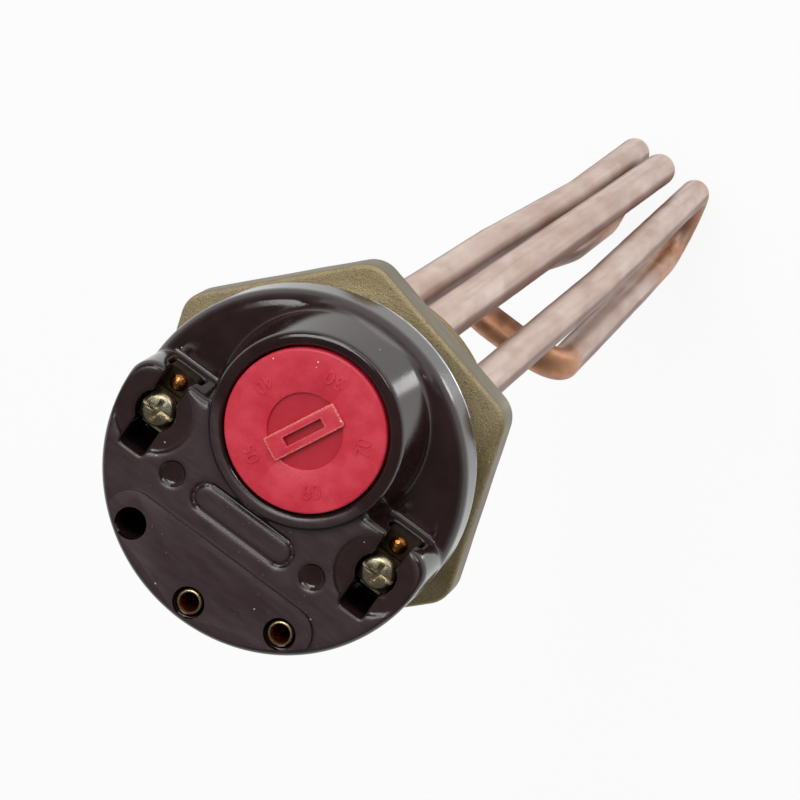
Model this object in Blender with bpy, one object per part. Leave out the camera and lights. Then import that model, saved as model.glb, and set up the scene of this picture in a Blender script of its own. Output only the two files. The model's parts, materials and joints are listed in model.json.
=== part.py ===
# Screw plug immersion heater with a rod-type temperature control head.
# Frame: origin at the centre of the plug's sealing face, +Z out of the tank towards the control knob,
# +X to the head's right and +Y from the crescent pad to the knob. Lengths are in metres.

import math

import bmesh
import bpy
from mathutils import Matrix, Vector

MM = 0.001
GAP = 0.3 * MM                      # clearance between neighbouring pieces
ROUND_SIDES = 44                    # facets of the large round pieces
SMALL_SIDES = 16                    # facets of the small round pieces
TUBE_SIDES = 12                     # facets round a heater tube

# brass plug
HEX_SIDES = 6
HEX_FLATS = 70.0 * MM
HEX_TURN = math.radians(76.2)       # direction of one flat's normal, from +X
HEX_THICKNESS = 8.0 * MM
HEX_CORNER_RADIUS = 6.0 * MM
HEX_EDGE = 0.8 * MM
THREAD_ROOT_RADIUS = 28.3 * MM      # core of a G 2 pipe thread
THREAD_DEPTH = 1.4 * MM
THREAD_PITCH = 2.309 * MM           # 11 turns to the inch, right-handed
THREAD_LENGTH = 22.0 * MM
THREAD_UNDERCUT = 0.9 * MM
THREAD_UNDERCUT_LENGTH = 4.0 * MM
TUBE_PLATE_THICKNESS = 8.0 * MM
CUP_WALL = 3.6 * MM                 # between the thread's root and the cup
SPIGOT_RADIUS = 31.0 * MM
SPIGOT_HEIGHT = 5.0 * MM

# zinc-plated base plate, a shallow pressed pan
HEAD_OVERHANG = 0.4 * MM            # head's radius beyond the plate's
PLATE_METAL = 1.2 * MM
PLATE_RIM_HEIGHT = 5.4 * MM
PLATE_BEND = 2.0 * MM
PLATE_SCREW_ANGLES = (30, 150, 270)
PLATE_SCREW_RADIUS = 1.5 * MM
PLATE_SCREW_HEAD_RADIUS = 2.75 * MM
PLATE_SCREW_HEAD_HEIGHT = 1.6 * MM
PLATE_SCREW_LENGTH = 7.0 * MM

# moulded head
HEAD_RADIUS = 35.2 * MM
HEAD_WALL = 2.0 * MM
SHOULDER_HEIGHT = 7.8 * MM          # from the plate's rim to the low shoulder
SHOULDER_ROUND = 2.6 * MM
BLOCK_HEIGHT = 19.9 * MM            # from the plate's rim to the block's face
BLOCK_EDGE = 1.3 * MM
BLOCK_INSET = 0.15 * MM            # block's side inside the shoulder's side
BLOCK_TOP_Y = 5.4 * MM              # where the tall block ends towards the knob
PAD_RISE = 1.1 * MM
PAD_EDGE_Y = -17.5 * MM
PAD_HALF_WIDTH = 24.0 * MM
PAD_CORNER = 5.2 * MM
PAD_MARGIN = 1.9 * MM
CAVITY_ROOF = 4.0 * MM              # roof thickness over the low cavity, at the shoulder
CARTOUCHE_SIZE = (24.0 * MM, 6.0 * MM)
CARTOUCHE_Y = -10.8 * MM
CARTOUCHE_DEPTH = 0.35 * MM
CARTOUCHE_BAND = 0.7 * MM
DIMPLE_PLACE = (16.9 * MM, -11.0 * MM)
DIMPLE_RADIUS = 2.55 * MM
DIMPLE_DEPTH = 0.6 * MM

# collar round the knob
KNOB_Y = 12.65 * MM
COLLAR_RISE = 1.7 * MM              # above the block's face
COLLAR_RADIUS = 19.4 * MM
COLLAR_FLARE = 3.6 * MM
COLLAR_HOLE_RADIUS = 16.6 * MM
COLLAR_HOLE_DEPTH = 6.2 * MM
SWITCH_ROOM_RADIUS = 14.5 * MM
KNOB_FLOOR = 2.4 * MM

# control knob and its spindle
KNOB_RADIUS = 16.2 * MM
KNOB_SKIRT = 1.6 * MM
KNOB_FACE_METAL = 1.7 * MM
KNOB_RECESS_RADIUS = 7.5 * MM
KNOB_RECESS_DEPTH = 0.8 * MM
KNOB_HUB_RADIUS = 4.2 * MM
GRIP_LENGTH = 16.0 * MM
GRIP_WIDTH = 5.0 * MM
GRIP_RISE = 0.8 * MM
GRIP_TURN = math.radians(63)
GRIP_SLOT = (8.7 * MM, 1.9 * MM, 1.4 * MM)
SPINDLE_RADIUS = 2.0 * MM
SPINDLE_FLAT = 0.6 * MM
SPINDLE_COLLAR_RADIUS = 4.0 * MM
SPINDLE_COLLAR_HEIGHT = 1.3 * MM
SPINDLE_TIP = 4.0 * MM

# terminals
TERMINAL_INSET = 8.6 * MM           # terminal's axis inside the head's side
TERMINAL_SCREW_Y = -3.1 * MM
WELL_WIDTH = 7.8 * MM
WELL_DEPTH = 9.8 * MM
WELL_LOW_Y = -7.3 * MM
WELL_SLOT_WIDTH = 5.5 * MM
WELL_SLOT_LENGTH = 4.8 * MM
WELL_TERRACE_RADIUS = 8.3 * MM
WELL_TERRACE_DEPTH = 0.9 * MM
SCREW_HEAD_RADIUS = 3.5 * MM
SCREW_HEAD_HEIGHT = 2.4 * MM
SCREW_HEAD_DROP = 1.8 * MM          # screw head's top below the block's face
SCREW_SHANK_RADIUS = 1.9 * MM
SCREW_LENGTH = 9.0 * MM
SCREW_SLOT_WIDTH = 0.9 * MM
SCREW_SLOT_DEPTH = 1.0 * MM
SCREW_CROSS_LENGTH = 4.2 * MM
SCREW_CROSS_DEPTH = 1.5 * MM
CLAMP_SIZE = (6.8 * MM, 7.4 * MM)
CLAMP_METAL = 1.0 * MM
TERMINAL_BLOCK_WIDTH = 6.8 * MM
TERMINAL_BLOCK_LENGTH = 12.2 * MM
RIVET_Y = 2.9 * MM
RIVET_HEAD_RADIUS = 1.8 * MM
RIVET_SHANK_RADIUS = 1.1 * MM
RIVET_HEAD_RISE = 1.5 * MM

# sockets in the crescent pad
SOCKET_INSET = 5.1 * MM             # sockets' circle inside the head's side
SOCKET_PITCH = math.radians(37)
SOCKET_RADIUS = 2.6 * MM
SOCKET_BORE_RADIUS = 1.95 * MM
SOCKET_MOUTH_RADIUS = 3.3 * MM
SOCKET_MOUTH_DEPTH = 1.6 * MM
SOCKET_FLANGE = 1.0 * MM
SOCKET_FLANGE_RADIUS = 3.6 * MM
EMPTY_HOLE_RADIUS = 3.3 * MM

# heating element
ELEMENT_RADIUS = 4.25 * MM
LEG_X = 13.5 * MM
LEG_Y = 7.5 * MM
ELEMENT_END_RISE = 6.0 * MM         # above the tube plate, in the plug's cup
LEG_STRAIGHT = 30.0 * MM            # below the tube plate, before the legs lean
NEAR_Z = -186.5 * MM                # centreline of the near bend
NEAR_BEND_RADIUS = 10.5 * MM
FOLD_SLACK = 0.86                   # fold's radius against half the distance it spans
BOW_RADIUS = 300.0 * MM             # the slight bends along the legs
KINK_RADIUS = 120.0 * MM
# centreline places of the legs, worked out from the photograph, in mm
LEFT_OUT = ((-13.1, 8.1, -170), (-11.2, 8.4, -265), (-12.4, 9.4, -360))
LEFT_BACK = ((-7.9, -13.1, -353), (-7.6, -13.3, -300), (-12.2, -12.5, -250))
LEFT_NEAR = (-13.0, -12.5)
RIGHT_NEAR = (16.8, -12.8)
RIGHT_BACK = ((14.0, -12.8, -300), (12.3, -13.0, -355))
RIGHT_OUT = ((8.6, 9.2, -366), (9.8, 8.7, -310), (12.3, 8.2, -200))
BEND_STEP = math.radians(15)
SEAL_RADIUS = 3.4 * MM
SEAL_HEIGHT = 4.0 * MM
PIN_RADIUS = 1.25 * MM
PIN_SEAT = 5.0 * MM

# rod pocket, sensing tube and expansion rod
POCKET_PLACE = (-2.2 * MM, 12.65 * MM)
POCKET_RADIUS = 4.7 * MM
POCKET_WALL = 0.8 * MM
POCKET_END_Z = -336.0 * MM
POCKET_FLANGE_RADIUS = 6.2 * MM
POCKET_FLANGE = 1.0 * MM
SENSING_RADIUS = 3.25 * MM
SENSING_WALL = 1.0 * MM
SENSING_LENGTH = 256.0 * MM
SENSING_FLANGE_RADIUS = 5.2 * MM
SENSING_FLANGE = 1.2 * MM
ROD_RADIUS = 1.5 * MM
ROD_TRAVEL = 0.6 * MM
BRAZE_WIDTH = 1.3 * MM

# switch
BRACKET_METAL = 1.2 * MM
BRACKET_LENGTH = 24.0 * MM
BRACKET_HALF_WIDTH = 8.0 * MM
EAR_LENGTH = 6.0 * MM
LEVER_PIVOT = (5.4 * MM, 23.4 * MM)  # y and z of the lever's pivot
PIVOT_RADIUS = 1.0 * MM
LEVER_WIDTH = 8.0 * MM
LEVER_METAL = 1.6 * MM
LEVER_END_Y = 21.6 * MM
BLADE_METAL = 0.5 * MM
BLADE_WIDTH = 4.0 * MM
CONTACT_RADIUS = 1.4 * MM
CONTACT_HEIGHT = 0.9 * MM
STRAP_WIDTH = 4.6 * MM
STRAP_METAL = 0.8 * MM
PIN_SOCKET_WALL = 0.8 * MM
PIN_SOCKET_LENGTH = 5.0 * MM
BUSH_RADIUS = 3.0 * MM
BUSH_FLANGE_RADIUS = 4.0 * MM
BUSH_FLANGE = 1.0 * MM

# places and levels worked out from the sizes above
CUP_RADIUS = THREAD_ROOT_RADIUS - CUP_WALL
PLATE_SCREW_CIRCLE = (CUP_RADIUS + SPIGOT_RADIUS) / 2
PLATE_RADIUS = HEAD_RADIUS - HEAD_OVERHANG
TERMINAL_X = HEAD_RADIUS - TERMINAL_INSET
SOCKET_CIRCLE = HEAD_RADIUS - SOCKET_INSET
TUBE_PLATE_LOW = -THREAD_LENGTH
TUBE_PLATE_TOP = TUBE_PLATE_LOW + TUBE_PLATE_THICKNESS
THREAD_LOW = TUBE_PLATE_LOW + HEX_EDGE
THREAD_TOP = -THREAD_UNDERCUT_LENGTH
SPIGOT_TOP = HEX_THICKNESS + SPIGOT_HEIGHT
PLATE_LOW = SPIGOT_TOP + GAP
PLATE_FLOOR = PLATE_LOW + PLATE_METAL
PLATE_RIM_TOP = PLATE_LOW + PLATE_RIM_HEIGHT
HEAD_LOW = PLATE_FLOOR + GAP
HEAD_RIM = PLATE_RIM_TOP + GAP
HEAD_SKIRT_RADIUS = PLATE_RADIUS - PLATE_METAL - GAP
CAVITY_RADIUS = HEAD_SKIRT_RADIUS - HEAD_WALL
SHOULDER_Z = HEAD_RIM + SHOULDER_HEIGHT
FACE_Z = HEAD_RIM + BLOCK_HEIGHT
PAD_Z = FACE_Z + PAD_RISE
COLLAR_Z = FACE_Z + COLLAR_RISE
CAVITY_Z = SHOULDER_Z - CAVITY_ROOF
KNOB_SEAT = COLLAR_Z - COLLAR_HOLE_DEPTH
SWITCH_ROOM_Z = KNOB_SEAT - KNOB_FLOOR
WELL_FLOOR = FACE_Z - WELL_DEPTH
KNOB_TOP = COLLAR_Z
KNOB_LOW = KNOB_SEAT + GAP
ELEMENT_TOP = TUBE_PLATE_TOP + ELEMENT_END_RISE
STRAP_Z = CAVITY_Z - GAP - STRAP_METAL
PIN_SOCKET_TOP = STRAP_Z - GAP
BRACKET_LOW = PLATE_FLOOR + GAP
BRACKET_FLOOR = BRACKET_LOW + BRACKET_METAL
SENSING_TOP = BRACKET_FLOOR + GAP + SENSING_FLANGE
LEVER_LOW = LEVER_PIVOT[1] - LEVER_METAL / 2
LEVER_TOP = LEVER_LOW + LEVER_METAL


def clear_scene():
    for old in list(bpy.data.objects):
        bpy.data.objects.remove(old, do_unlink=True)


def material(name, colour, roughness, metallic=0.0):
    made = bpy.data.materials.new(name)
    made.use_nodes = True
    made.diffuse_color = (*colour, 1.0)
    shader = made.node_tree.nodes["Principled BSDF"]
    shader.inputs["Base Color"].default_value = (*colour, 1.0)
    shader.inputs["Roughness"].default_value = roughness
    shader.inputs["Metallic"].default_value = metallic
    return made


def finish_mesh(name, bm, surface=None, smooth_angle=32):
    bmesh.ops.remove_doubles(bm, verts=bm.verts, dist=1e-7)
    bmesh.ops.recalc_face_normals(bm, faces=bm.faces)
    mesh = bpy.data.meshes.new(name)
    bm.to_mesh(mesh)
    bm.free()
    mesh.shade_smooth()
    mesh.set_sharp_from_angle(angle=math.radians(smooth_angle))
    made = bpy.data.objects.new(name, mesh)
    bpy.context.scene.collection.objects.link(made)
    if surface is not None:
        mesh.materials.append(surface)
    return made


def lathe(profile, sides=SMALL_SIDES, centre=(0.0, 0.0)):
    """Turned body: the closed outline of (radius, z) points spun about the vertical axis through centre."""
    bm = bmesh.new()
    points = [bm.verts.new((centre[0] + r, centre[1], z)) for r, z in profile]
    edges = []
    for first, second in zip(points, points[1:] + points[:1]):
        on_axis = abs(first.co.x - centre[0]) < 1e-9 and abs(second.co.x - centre[0]) < 1e-9
        if not on_axis:
            edges.append(bm.edges.new((first, second)))
    bmesh.ops.spin(bm, geom=points + edges, cent=(centre[0], centre[1], 0.0), axis=(0, 0, 1),
                   angle=2 * math.pi, steps=sides, use_merge=True)
    bmesh.ops.remove_doubles(bm, verts=bm.verts, dist=1e-7)
    return bm


def arc(cx, cy, radius, start, end, steps):
    """Points of an arc, with its angles in degrees."""
    points = []
    for step in range(steps + 1):
        angle = math.radians(start + (end - start) * step / steps)
        points.append((cx + radius * math.cos(angle), cy + radius * math.sin(angle)))
    return points


def prism(outline, low, high):
    """Upright body with the given plan outline."""
    bm = bmesh.new()
    face = bm.faces.new([bm.verts.new((x, y, low)) for x, y in outline])
    grown = bmesh.ops.extrude_face_region(bm, geom=[face])
    top = [item for item in grown["geom"] if isinstance(item, bmesh.types.BMVert)]
    bmesh.ops.translate(bm, verts=top, vec=(0, 0, high - low))
    return bm


def strip(outline, start, end, axis):
    """Sheet piece: an outline in a vertical plane, extruded along the horizontal axis X or Y."""
    bm = bmesh.new()
    if axis == "X":
        ring = [bm.verts.new((start, a, z)) for a, z in outline]
        travel = (end - start, 0, 0)
    else:
        ring = [bm.verts.new((a, start, z)) for a, z in outline]
        travel = (0, end - start, 0)
    face = bm.faces.new(ring)
    grown = bmesh.ops.extrude_face_region(bm, geom=[face])
    far = [item for item in grown["geom"] if isinstance(item, bmesh.types.BMVert)]
    bmesh.ops.translate(bm, verts=far, vec=travel)
    return bm


def rectangle(low_x, high_x, low_y, high_y, radius=0.0, steps=5):
    """Plan outline of a rectangle, with rounded corners where a radius is given."""
    if radius <= 0:
        return [(low_x, low_y), (high_x, low_y), (high_x, high_y), (low_x, high_y)]
    return (arc(high_x - radius, low_y + radius, radius, -90, 0, steps)
            + arc(high_x - radius, high_y - radius, radius, 0, 90, steps)
            + arc(low_x + radius, high_y - radius, radius, 90, 180, steps)
            + arc(low_x + radius, low_y + radius, radius, 180, 270, steps))


def cylinder(radius, low, high, centre=(0.0, 0.0), sides=SMALL_SIDES):
    return lathe([(0, low), (radius, low), (radius, high), (0, high)], sides, centre)


def combine(target, bm, operation="DIFFERENCE"):
    """Cuts the given body out of the target, or joins or keeps it, with an exact Boolean."""
    tool = finish_mesh(target.name + "_tool", bm)
    tool.hide_render = True
    tool.display_type = "WIRE"
    step = target.modifiers.new(operation.lower(), "BOOLEAN")
    step.operation = operation
    step.solver = "EXACT"
    step.object = tool
    return step


def combine_all(target, tools, operation):
    """Applies many tools in one exact Boolean, through a collection of their own."""
    group = bpy.data.collections.new(f"{target.name}_{operation.lower()}")
    bpy.context.scene.collection.children.link(group)
    for tool in tools:
        if isinstance(tool, bmesh.types.BMesh):
            tool = finish_mesh(target.name + "_tool", tool)
        for holder in list(tool.users_collection):
            holder.objects.unlink(tool)
        group.objects.link(tool)
        tool.hide_render = True
        tool.display_type = "WIRE"
    step = target.modifiers.new(operation.lower(), "BOOLEAN")
    step.operation = operation
    step.solver = "EXACT"
    step.operand_type = "COLLECTION"
    step.collection = group


def soften(target, width, segments=2, angle=35):
    bevel = target.modifiers.new("edges", "BEVEL")
    bevel.width = width
    bevel.segments = segments
    bevel.limit_method = "ANGLE"
    bevel.angle_limit = math.radians(angle)
    bevel.use_clamp_overlap = True
    return bevel


def rounded_route(corners, radii):
    """Centreline through the corners, with each inner corner turned on its own radius."""
    route = [Vector(corners[0])]
    for before, corner, after, radius in zip(corners, corners[1:], corners[2:], radii):
        corner = Vector(corner)
        to_before = (Vector(before) - corner).normalized()
        to_after = (Vector(after) - corner).normalized()
        turn = math.pi - to_before.angle(to_after)
        if turn < 1e-4:
            continue
        setback = radius * math.tan(turn / 2)
        start = corner + to_before * setback
        middle = (to_before + to_after).normalized()
        hub = corner + middle * (radius / math.cos(turn / 2))
        steps = max(1, round(turn / BEND_STEP))
        axis = (start - hub).cross(corner + to_after * setback - hub).normalized()
        for step in range(steps + 1):
            route.append(hub + Matrix.Rotation(turn * step / steps, 3, axis) @ (start - hub))
    route.append(Vector(corners[-1]))
    return route


def tube_along(route, radius, sides=TUBE_SIDES):
    """Solid round bar swept along a route, without twist."""
    bm = bmesh.new()
    tangents = []
    for index in range(len(route)):
        before = route[max(index - 1, 0)]
        after = route[min(index + 1, len(route) - 1)]
        tangents.append((after - before).normalized())
    normal = tangents[0].orthogonal().normalized()
    rings = []
    for point, tangent in zip(route, tangents):
        normal = (normal - tangent * normal.dot(tangent)).normalized()
        side = tangent.cross(normal)
        ring = []
        for step in range(sides):
            angle = 2 * math.pi * step / sides
            offset = normal * math.cos(angle) + side * math.sin(angle)
            ring.append(bm.verts.new(point + offset * radius))
        rings.append(ring)
    for lower, upper in zip(rings, rings[1:]):
        for step in range(sides):
            follow = (step + 1) % sides
            bm.faces.new((lower[step], lower[follow], upper[follow], upper[step]))
    bm.faces.new(rings[0])
    bm.faces.new(rings[-1])
    return bm


def hexagon_outline():
    """Hexagon with rounded corners."""
    inner = HEX_FLATS / 2 - HEX_CORNER_RADIUS
    half_side = 180 / HEX_SIDES
    reach = inner / math.cos(math.radians(half_side))
    outline = []
    for corner in range(HEX_SIDES):
        middle = math.degrees(HEX_TURN) + half_side * (1 + 2 * corner)
        cx = reach * math.cos(math.radians(middle))
        cy = reach * math.sin(math.radians(middle))
        outline += arc(cx, cy, HEX_CORNER_RADIUS, middle - half_side, middle + half_side, 4)
    return outline


def threaded_boss():
    """Solid boss about the axis: an end chamfer, a helical thread, a neck and the spigot."""
    bm = bmesh.new()
    corners = {}

    def corner(radius, step, z):
        key = (round(radius / MM, 4), step, round(z / MM, 4))
        if key not in corners:
            angle = 2 * math.pi * step / ROUND_SIDES
            corners[key] = bm.verts.new((radius * math.cos(angle), radius * math.sin(angle), z))
        return corners[key]

    def on_thread(row, step):
        # even rows run along the root, odd rows along the crest; one turn joins a row to the next but one
        row += 2 * (step // ROUND_SIDES)
        step %= ROUND_SIDES
        z = THREAD_LOW + THREAD_PITCH * (row / 2 + step / ROUND_SIDES)
        z = min(max(z, THREAD_LOW), THREAD_TOP)
        run_out = min(1, 2 * (z - THREAD_LOW) / THREAD_PITCH, 2 * (THREAD_TOP - z) / THREAD_PITCH)
        return corner(THREAD_ROOT_RADIUS + THREAD_DEPTH * run_out * (row % 2), step, z)

    def face(*places):
        places = list(dict.fromkeys(places))
        if len(places) > 2:
            bm.faces.new(places)

    for row in range(-2, 2 * math.ceil((THREAD_TOP - THREAD_LOW) / THREAD_PITCH)):
        for step in range(ROUND_SIDES):
            face(on_thread(row, step), on_thread(row, step + 1),
                 on_thread(row + 1, step + 1), on_thread(row + 1, step))
    neck = THREAD_ROOT_RADIUS - THREAD_UNDERCUT
    for profile in ([(THREAD_ROOT_RADIUS - HEX_EDGE, TUBE_PLATE_LOW), (THREAD_ROOT_RADIUS, THREAD_LOW)],
                    [(THREAD_ROOT_RADIUS, THREAD_TOP), (neck, THREAD_TOP + THREAD_UNDERCUT),
                     (neck, HEX_THICKNESS / 2), (SPIGOT_RADIUS, HEX_THICKNESS / 2), (SPIGOT_RADIUS, SPIGOT_TOP)]):
        for (radius, z), (next_radius, next_z) in zip(profile, profile[1:]):
            for step in range(ROUND_SIDES):
                follow = (step + 1) % ROUND_SIDES
                face(corner(radius, step, z), corner(radius, follow, z),
                     corner(next_radius, follow, next_z), corner(next_radius, step, next_z))
    for radius, z in ((THREAD_ROOT_RADIUS - HEX_EDGE, TUBE_PLATE_LOW), (SPIGOT_RADIUS, SPIGOT_TOP)):
        face(*[corner(radius, step, z) for step in range(ROUND_SIDES)])
    return bm


def make_plug(brass):
    plug = finish_mesh("hex_plug", prism(hexagon_outline(), 0, HEX_THICKNESS), brass)
    soften(plug, HEX_EDGE, 2, 50)
    combine(plug, threaded_boss(), "UNION")
    cup = [(0, TUBE_PLATE_TOP), (CUP_RADIUS - HEX_EDGE, TUBE_PLATE_TOP), (CUP_RADIUS, TUBE_PLATE_TOP + HEX_EDGE),
           (CUP_RADIUS, SPIGOT_TOP + MM), (0, SPIGOT_TOP + MM)]
    combine(plug, lathe(cup, ROUND_SIDES))
    for x in (-LEG_X, LEG_X):
        combine(plug, cylinder(ELEMENT_RADIUS + GAP, TUBE_PLATE_LOW - MM, TUBE_PLATE_TOP + MM, (x, LEG_Y)))
    combine(plug, cylinder(POCKET_RADIUS + GAP, TUBE_PLATE_LOW - MM, TUBE_PLATE_TOP + MM, POCKET_PLACE))
    hole_low = PLATE_FLOOR - PLATE_SCREW_LENGTH - MM
    for place in plate_screw_places():
        combine(plug, cylinder(PLATE_SCREW_RADIUS + GAP, hole_low, SPIGOT_TOP + MM, place, 12))
    return plug


def plate_screw_places():
    places = []
    for degrees in PLATE_SCREW_ANGLES:
        angle = math.radians(degrees)
        places.append((PLATE_SCREW_CIRCLE * math.cos(angle), PLATE_SCREW_CIRCLE * math.sin(angle)))
    return places


def make_base_plate(zinc):
    outer = arc(PLATE_RADIUS - PLATE_BEND, PLATE_LOW + PLATE_BEND, PLATE_BEND, -90, 0, 3)
    bend_inside = PLATE_BEND - PLATE_METAL
    inner = arc(PLATE_RADIUS - PLATE_BEND, PLATE_LOW + PLATE_BEND, bend_inside, 0, -90, 2)
    profile = [(0, PLATE_LOW)] + outer + [(PLATE_RADIUS, PLATE_RIM_TOP), (PLATE_RADIUS - PLATE_METAL, PLATE_RIM_TOP)]
    profile += inner + [(0, PLATE_FLOOR)]
    plate = finish_mesh("base_plate", lathe(profile, ROUND_SIDES), zinc)
    for x in (-LEG_X, LEG_X):
        combine(plate, cylinder(BUSH_RADIUS + GAP, PLATE_LOW - MM, PLATE_FLOOR + MM, (x, LEG_Y)))
    combine(plate, cylinder(SENSING_RADIUS + 2 * GAP, PLATE_LOW - MM, PLATE_FLOOR + MM, POCKET_PLACE))
    for place in plate_screw_places():
        combine(plate, cylinder(PLATE_SCREW_RADIUS + GAP, PLATE_LOW - MM, PLATE_FLOOR + MM, place, 12))
    return plate


def make_plate_screws(steel):
    for index, place in enumerate(plate_screw_places()):
        seat = PLATE_FLOOR + GAP
        top = seat + PLATE_SCREW_HEAD_HEIGHT
        low = seat - PLATE_SCREW_LENGTH
        profile = [(0, low), (PLATE_SCREW_RADIUS * 0.7, low), (PLATE_SCREW_RADIUS, low + 0.5 * MM),
                   (PLATE_SCREW_RADIUS, seat), (PLATE_SCREW_HEAD_RADIUS, seat),
                   (PLATE_SCREW_HEAD_RADIUS, top - 0.6 * MM), (PLATE_SCREW_HEAD_RADIUS * 0.7, top), (0, top)]
        screw = finish_mesh(f"plate_screw_{index + 1}", lathe(profile, 12, place), steel)
        half = SCREW_SLOT_WIDTH / 2
        reach = PLATE_SCREW_HEAD_RADIUS + MM
        slot = rectangle(place[0] - reach, place[0] + reach, place[1] - half, place[1] + half)
        combine(screw, prism(slot, top - 0.8 * MM, top + MM))


def head_block():
    """Tall part of the head: a disc cut off towards the knob, with its edges rounded."""
    radius = HEAD_RADIUS - BLOCK_INSET
    side = arc(0, 0, radius, 180, 360, ROUND_SIDES // 2)
    end_angle = math.degrees(math.asin(BLOCK_TOP_Y / radius))
    ends = arc(0, 0, radius, 0, end_angle, 2)[1:]
    outline = side + ends + [(-x, y) for x, y in reversed(ends)]
    block = finish_mesh("head_block_tool", prism(outline, HEAD_RIM + 0.4 * MM, FACE_Z))
    soften(block, BLOCK_EDGE, 2, 35)
    return block


def pad_outline():
    """Crescent pad: straight upper edge with rounded corners, and the head's own curve below."""
    radius = HEAD_RADIUS - PAD_MARGIN
    low_y = -math.sqrt(radius ** 2 - PAD_HALF_WIDTH ** 2)
    start = math.degrees(math.atan2(low_y, -PAD_HALF_WIDTH)) % 360
    end = math.degrees(math.atan2(low_y, PAD_HALF_WIDTH)) % 360
    return (arc(0, 0, radius, start, end, 20)
            + arc(PAD_HALF_WIDTH - PAD_CORNER, PAD_EDGE_Y - PAD_CORNER, PAD_CORNER, 0, 90, 6)
            + arc(-PAD_HALF_WIDTH + PAD_CORNER, PAD_EDGE_Y - PAD_CORNER, PAD_CORNER, 90, 180, 6))


def collar_profile():
    """Half section of the collar, from its crest down to where it flares into the shoulder."""
    crest = 1.2 * MM
    flare_radius = COLLAR_RADIUS + COLLAR_FLARE
    foot = SHOULDER_Z - 0.6 * MM
    bend = 6.0 * MM
    profile = [(0, CAVITY_Z), (flare_radius, CAVITY_Z), (flare_radius, foot)]
    profile += arc(flare_radius, foot + bend, bend, 262, 196, 4)
    profile += arc(COLLAR_RADIUS - crest, COLLAR_Z - crest, crest, 15, 90, 2)
    return profile + [(0, COLLAR_Z)]


def stadium(half_length, half_width, y, steps=6):
    reach = half_length - half_width
    return (arc(reach, y, half_width, -90, 90, steps) + arc(-reach, y, half_width, 90, 270, steps))


def socket_places():
    places = []
    for step in (-1, 0, 1):
        angle = step * SOCKET_PITCH
        places.append((SOCKET_CIRCLE * math.sin(angle), -SOCKET_CIRCLE * math.cos(angle)))
    return places


def make_collar():
    """Collar round the knob, kept inside the head's own outline."""
    collar = finish_mesh("collar_shape", lathe(collar_profile(), ROUND_SIDES, (0, KNOB_Y)))
    side = HEAD_RADIUS - 0.35 * MM
    limit = [(0, HEAD_LOW), (side, HEAD_LOW), (side, SHOULDER_Z - SHOULDER_ROUND),
             (side - MM, SHOULDER_Z - 0.2 * MM), (side - 1.6 * MM, COLLAR_Z + MM), (0, COLLAR_Z + MM)]
    combine(collar, lathe(limit, ROUND_SIDES), "INTERSECT")
    return collar


def make_pad():
    pad = finish_mesh("pad_shape", prism(pad_outline(), FACE_Z - 2 * MM, PAD_Z))
    soften(pad, 0.5 * MM, 2, 50)
    return pad


def terminal_well(side, above):
    """Cutters of one terminal: well, lead slot, terrace, screw and rivet holes, and the dimple beside it."""
    x = side * TERMINAL_X
    well = rectangle(x - WELL_WIDTH / 2, x + WELL_WIDTH / 2, WELL_LOW_Y, BLOCK_TOP_Y + 8 * MM, 1.0 * MM, 3)
    slot = rectangle(x - WELL_SLOT_WIDTH / 2, x + WELL_SLOT_WIDTH / 2,
                     WELL_LOW_Y - WELL_SLOT_LENGTH, WELL_LOW_Y + MM)
    place = (x, TERMINAL_SCREW_Y)
    return [prism(well, WELL_FLOOR, above),
            prism(slot, CAVITY_Z - MM, above),
            cylinder(WELL_TERRACE_RADIUS, FACE_Z - WELL_TERRACE_DEPTH, above, place, 26),
            cylinder(SCREW_SHANK_RADIUS + 2 * GAP, CAVITY_Z - MM, WELL_FLOOR + MM, place, 16),
            cylinder(RIVET_SHANK_RADIUS + GAP, CAVITY_Z - MM, WELL_FLOOR + MM, (x, RIVET_Y), 12),
            cylinder(DIMPLE_RADIUS, FACE_Z - DIMPLE_DEPTH, above, (side * DIMPLE_PLACE[0], DIMPLE_PLACE[1]))]


def socket_bore(place, above):
    flange_top = CAVITY_Z + SOCKET_FLANGE + GAP
    mouth_low = PAD_Z - SOCKET_MOUTH_DEPTH
    profile = [(0, CAVITY_Z - MM), (SOCKET_FLANGE_RADIUS + GAP, CAVITY_Z - MM),
               (SOCKET_FLANGE_RADIUS + GAP, flange_top), (SOCKET_RADIUS + GAP, flange_top),
               (SOCKET_RADIUS + GAP, mouth_low), (SOCKET_MOUTH_RADIUS, mouth_low),
               (SOCKET_MOUTH_RADIUS, above), (0, above)]
    return lathe(profile, SMALL_SIDES, place)


def cartouche_groove(above):
    half_length = CARTOUCHE_SIZE[0] / 2
    half_width = CARTOUCHE_SIZE[1] / 2
    groove = finish_mesh("cartouche_shape",
                         prism(stadium(half_length, half_width, CARTOUCHE_Y), FACE_Z - CARTOUCHE_DEPTH, above))
    island = stadium(half_length - CARTOUCHE_BAND, half_width - CARTOUCHE_BAND, CARTOUCHE_Y)
    combine(groove, prism(island, FACE_Z - MM, above + MM))
    return groove


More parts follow.
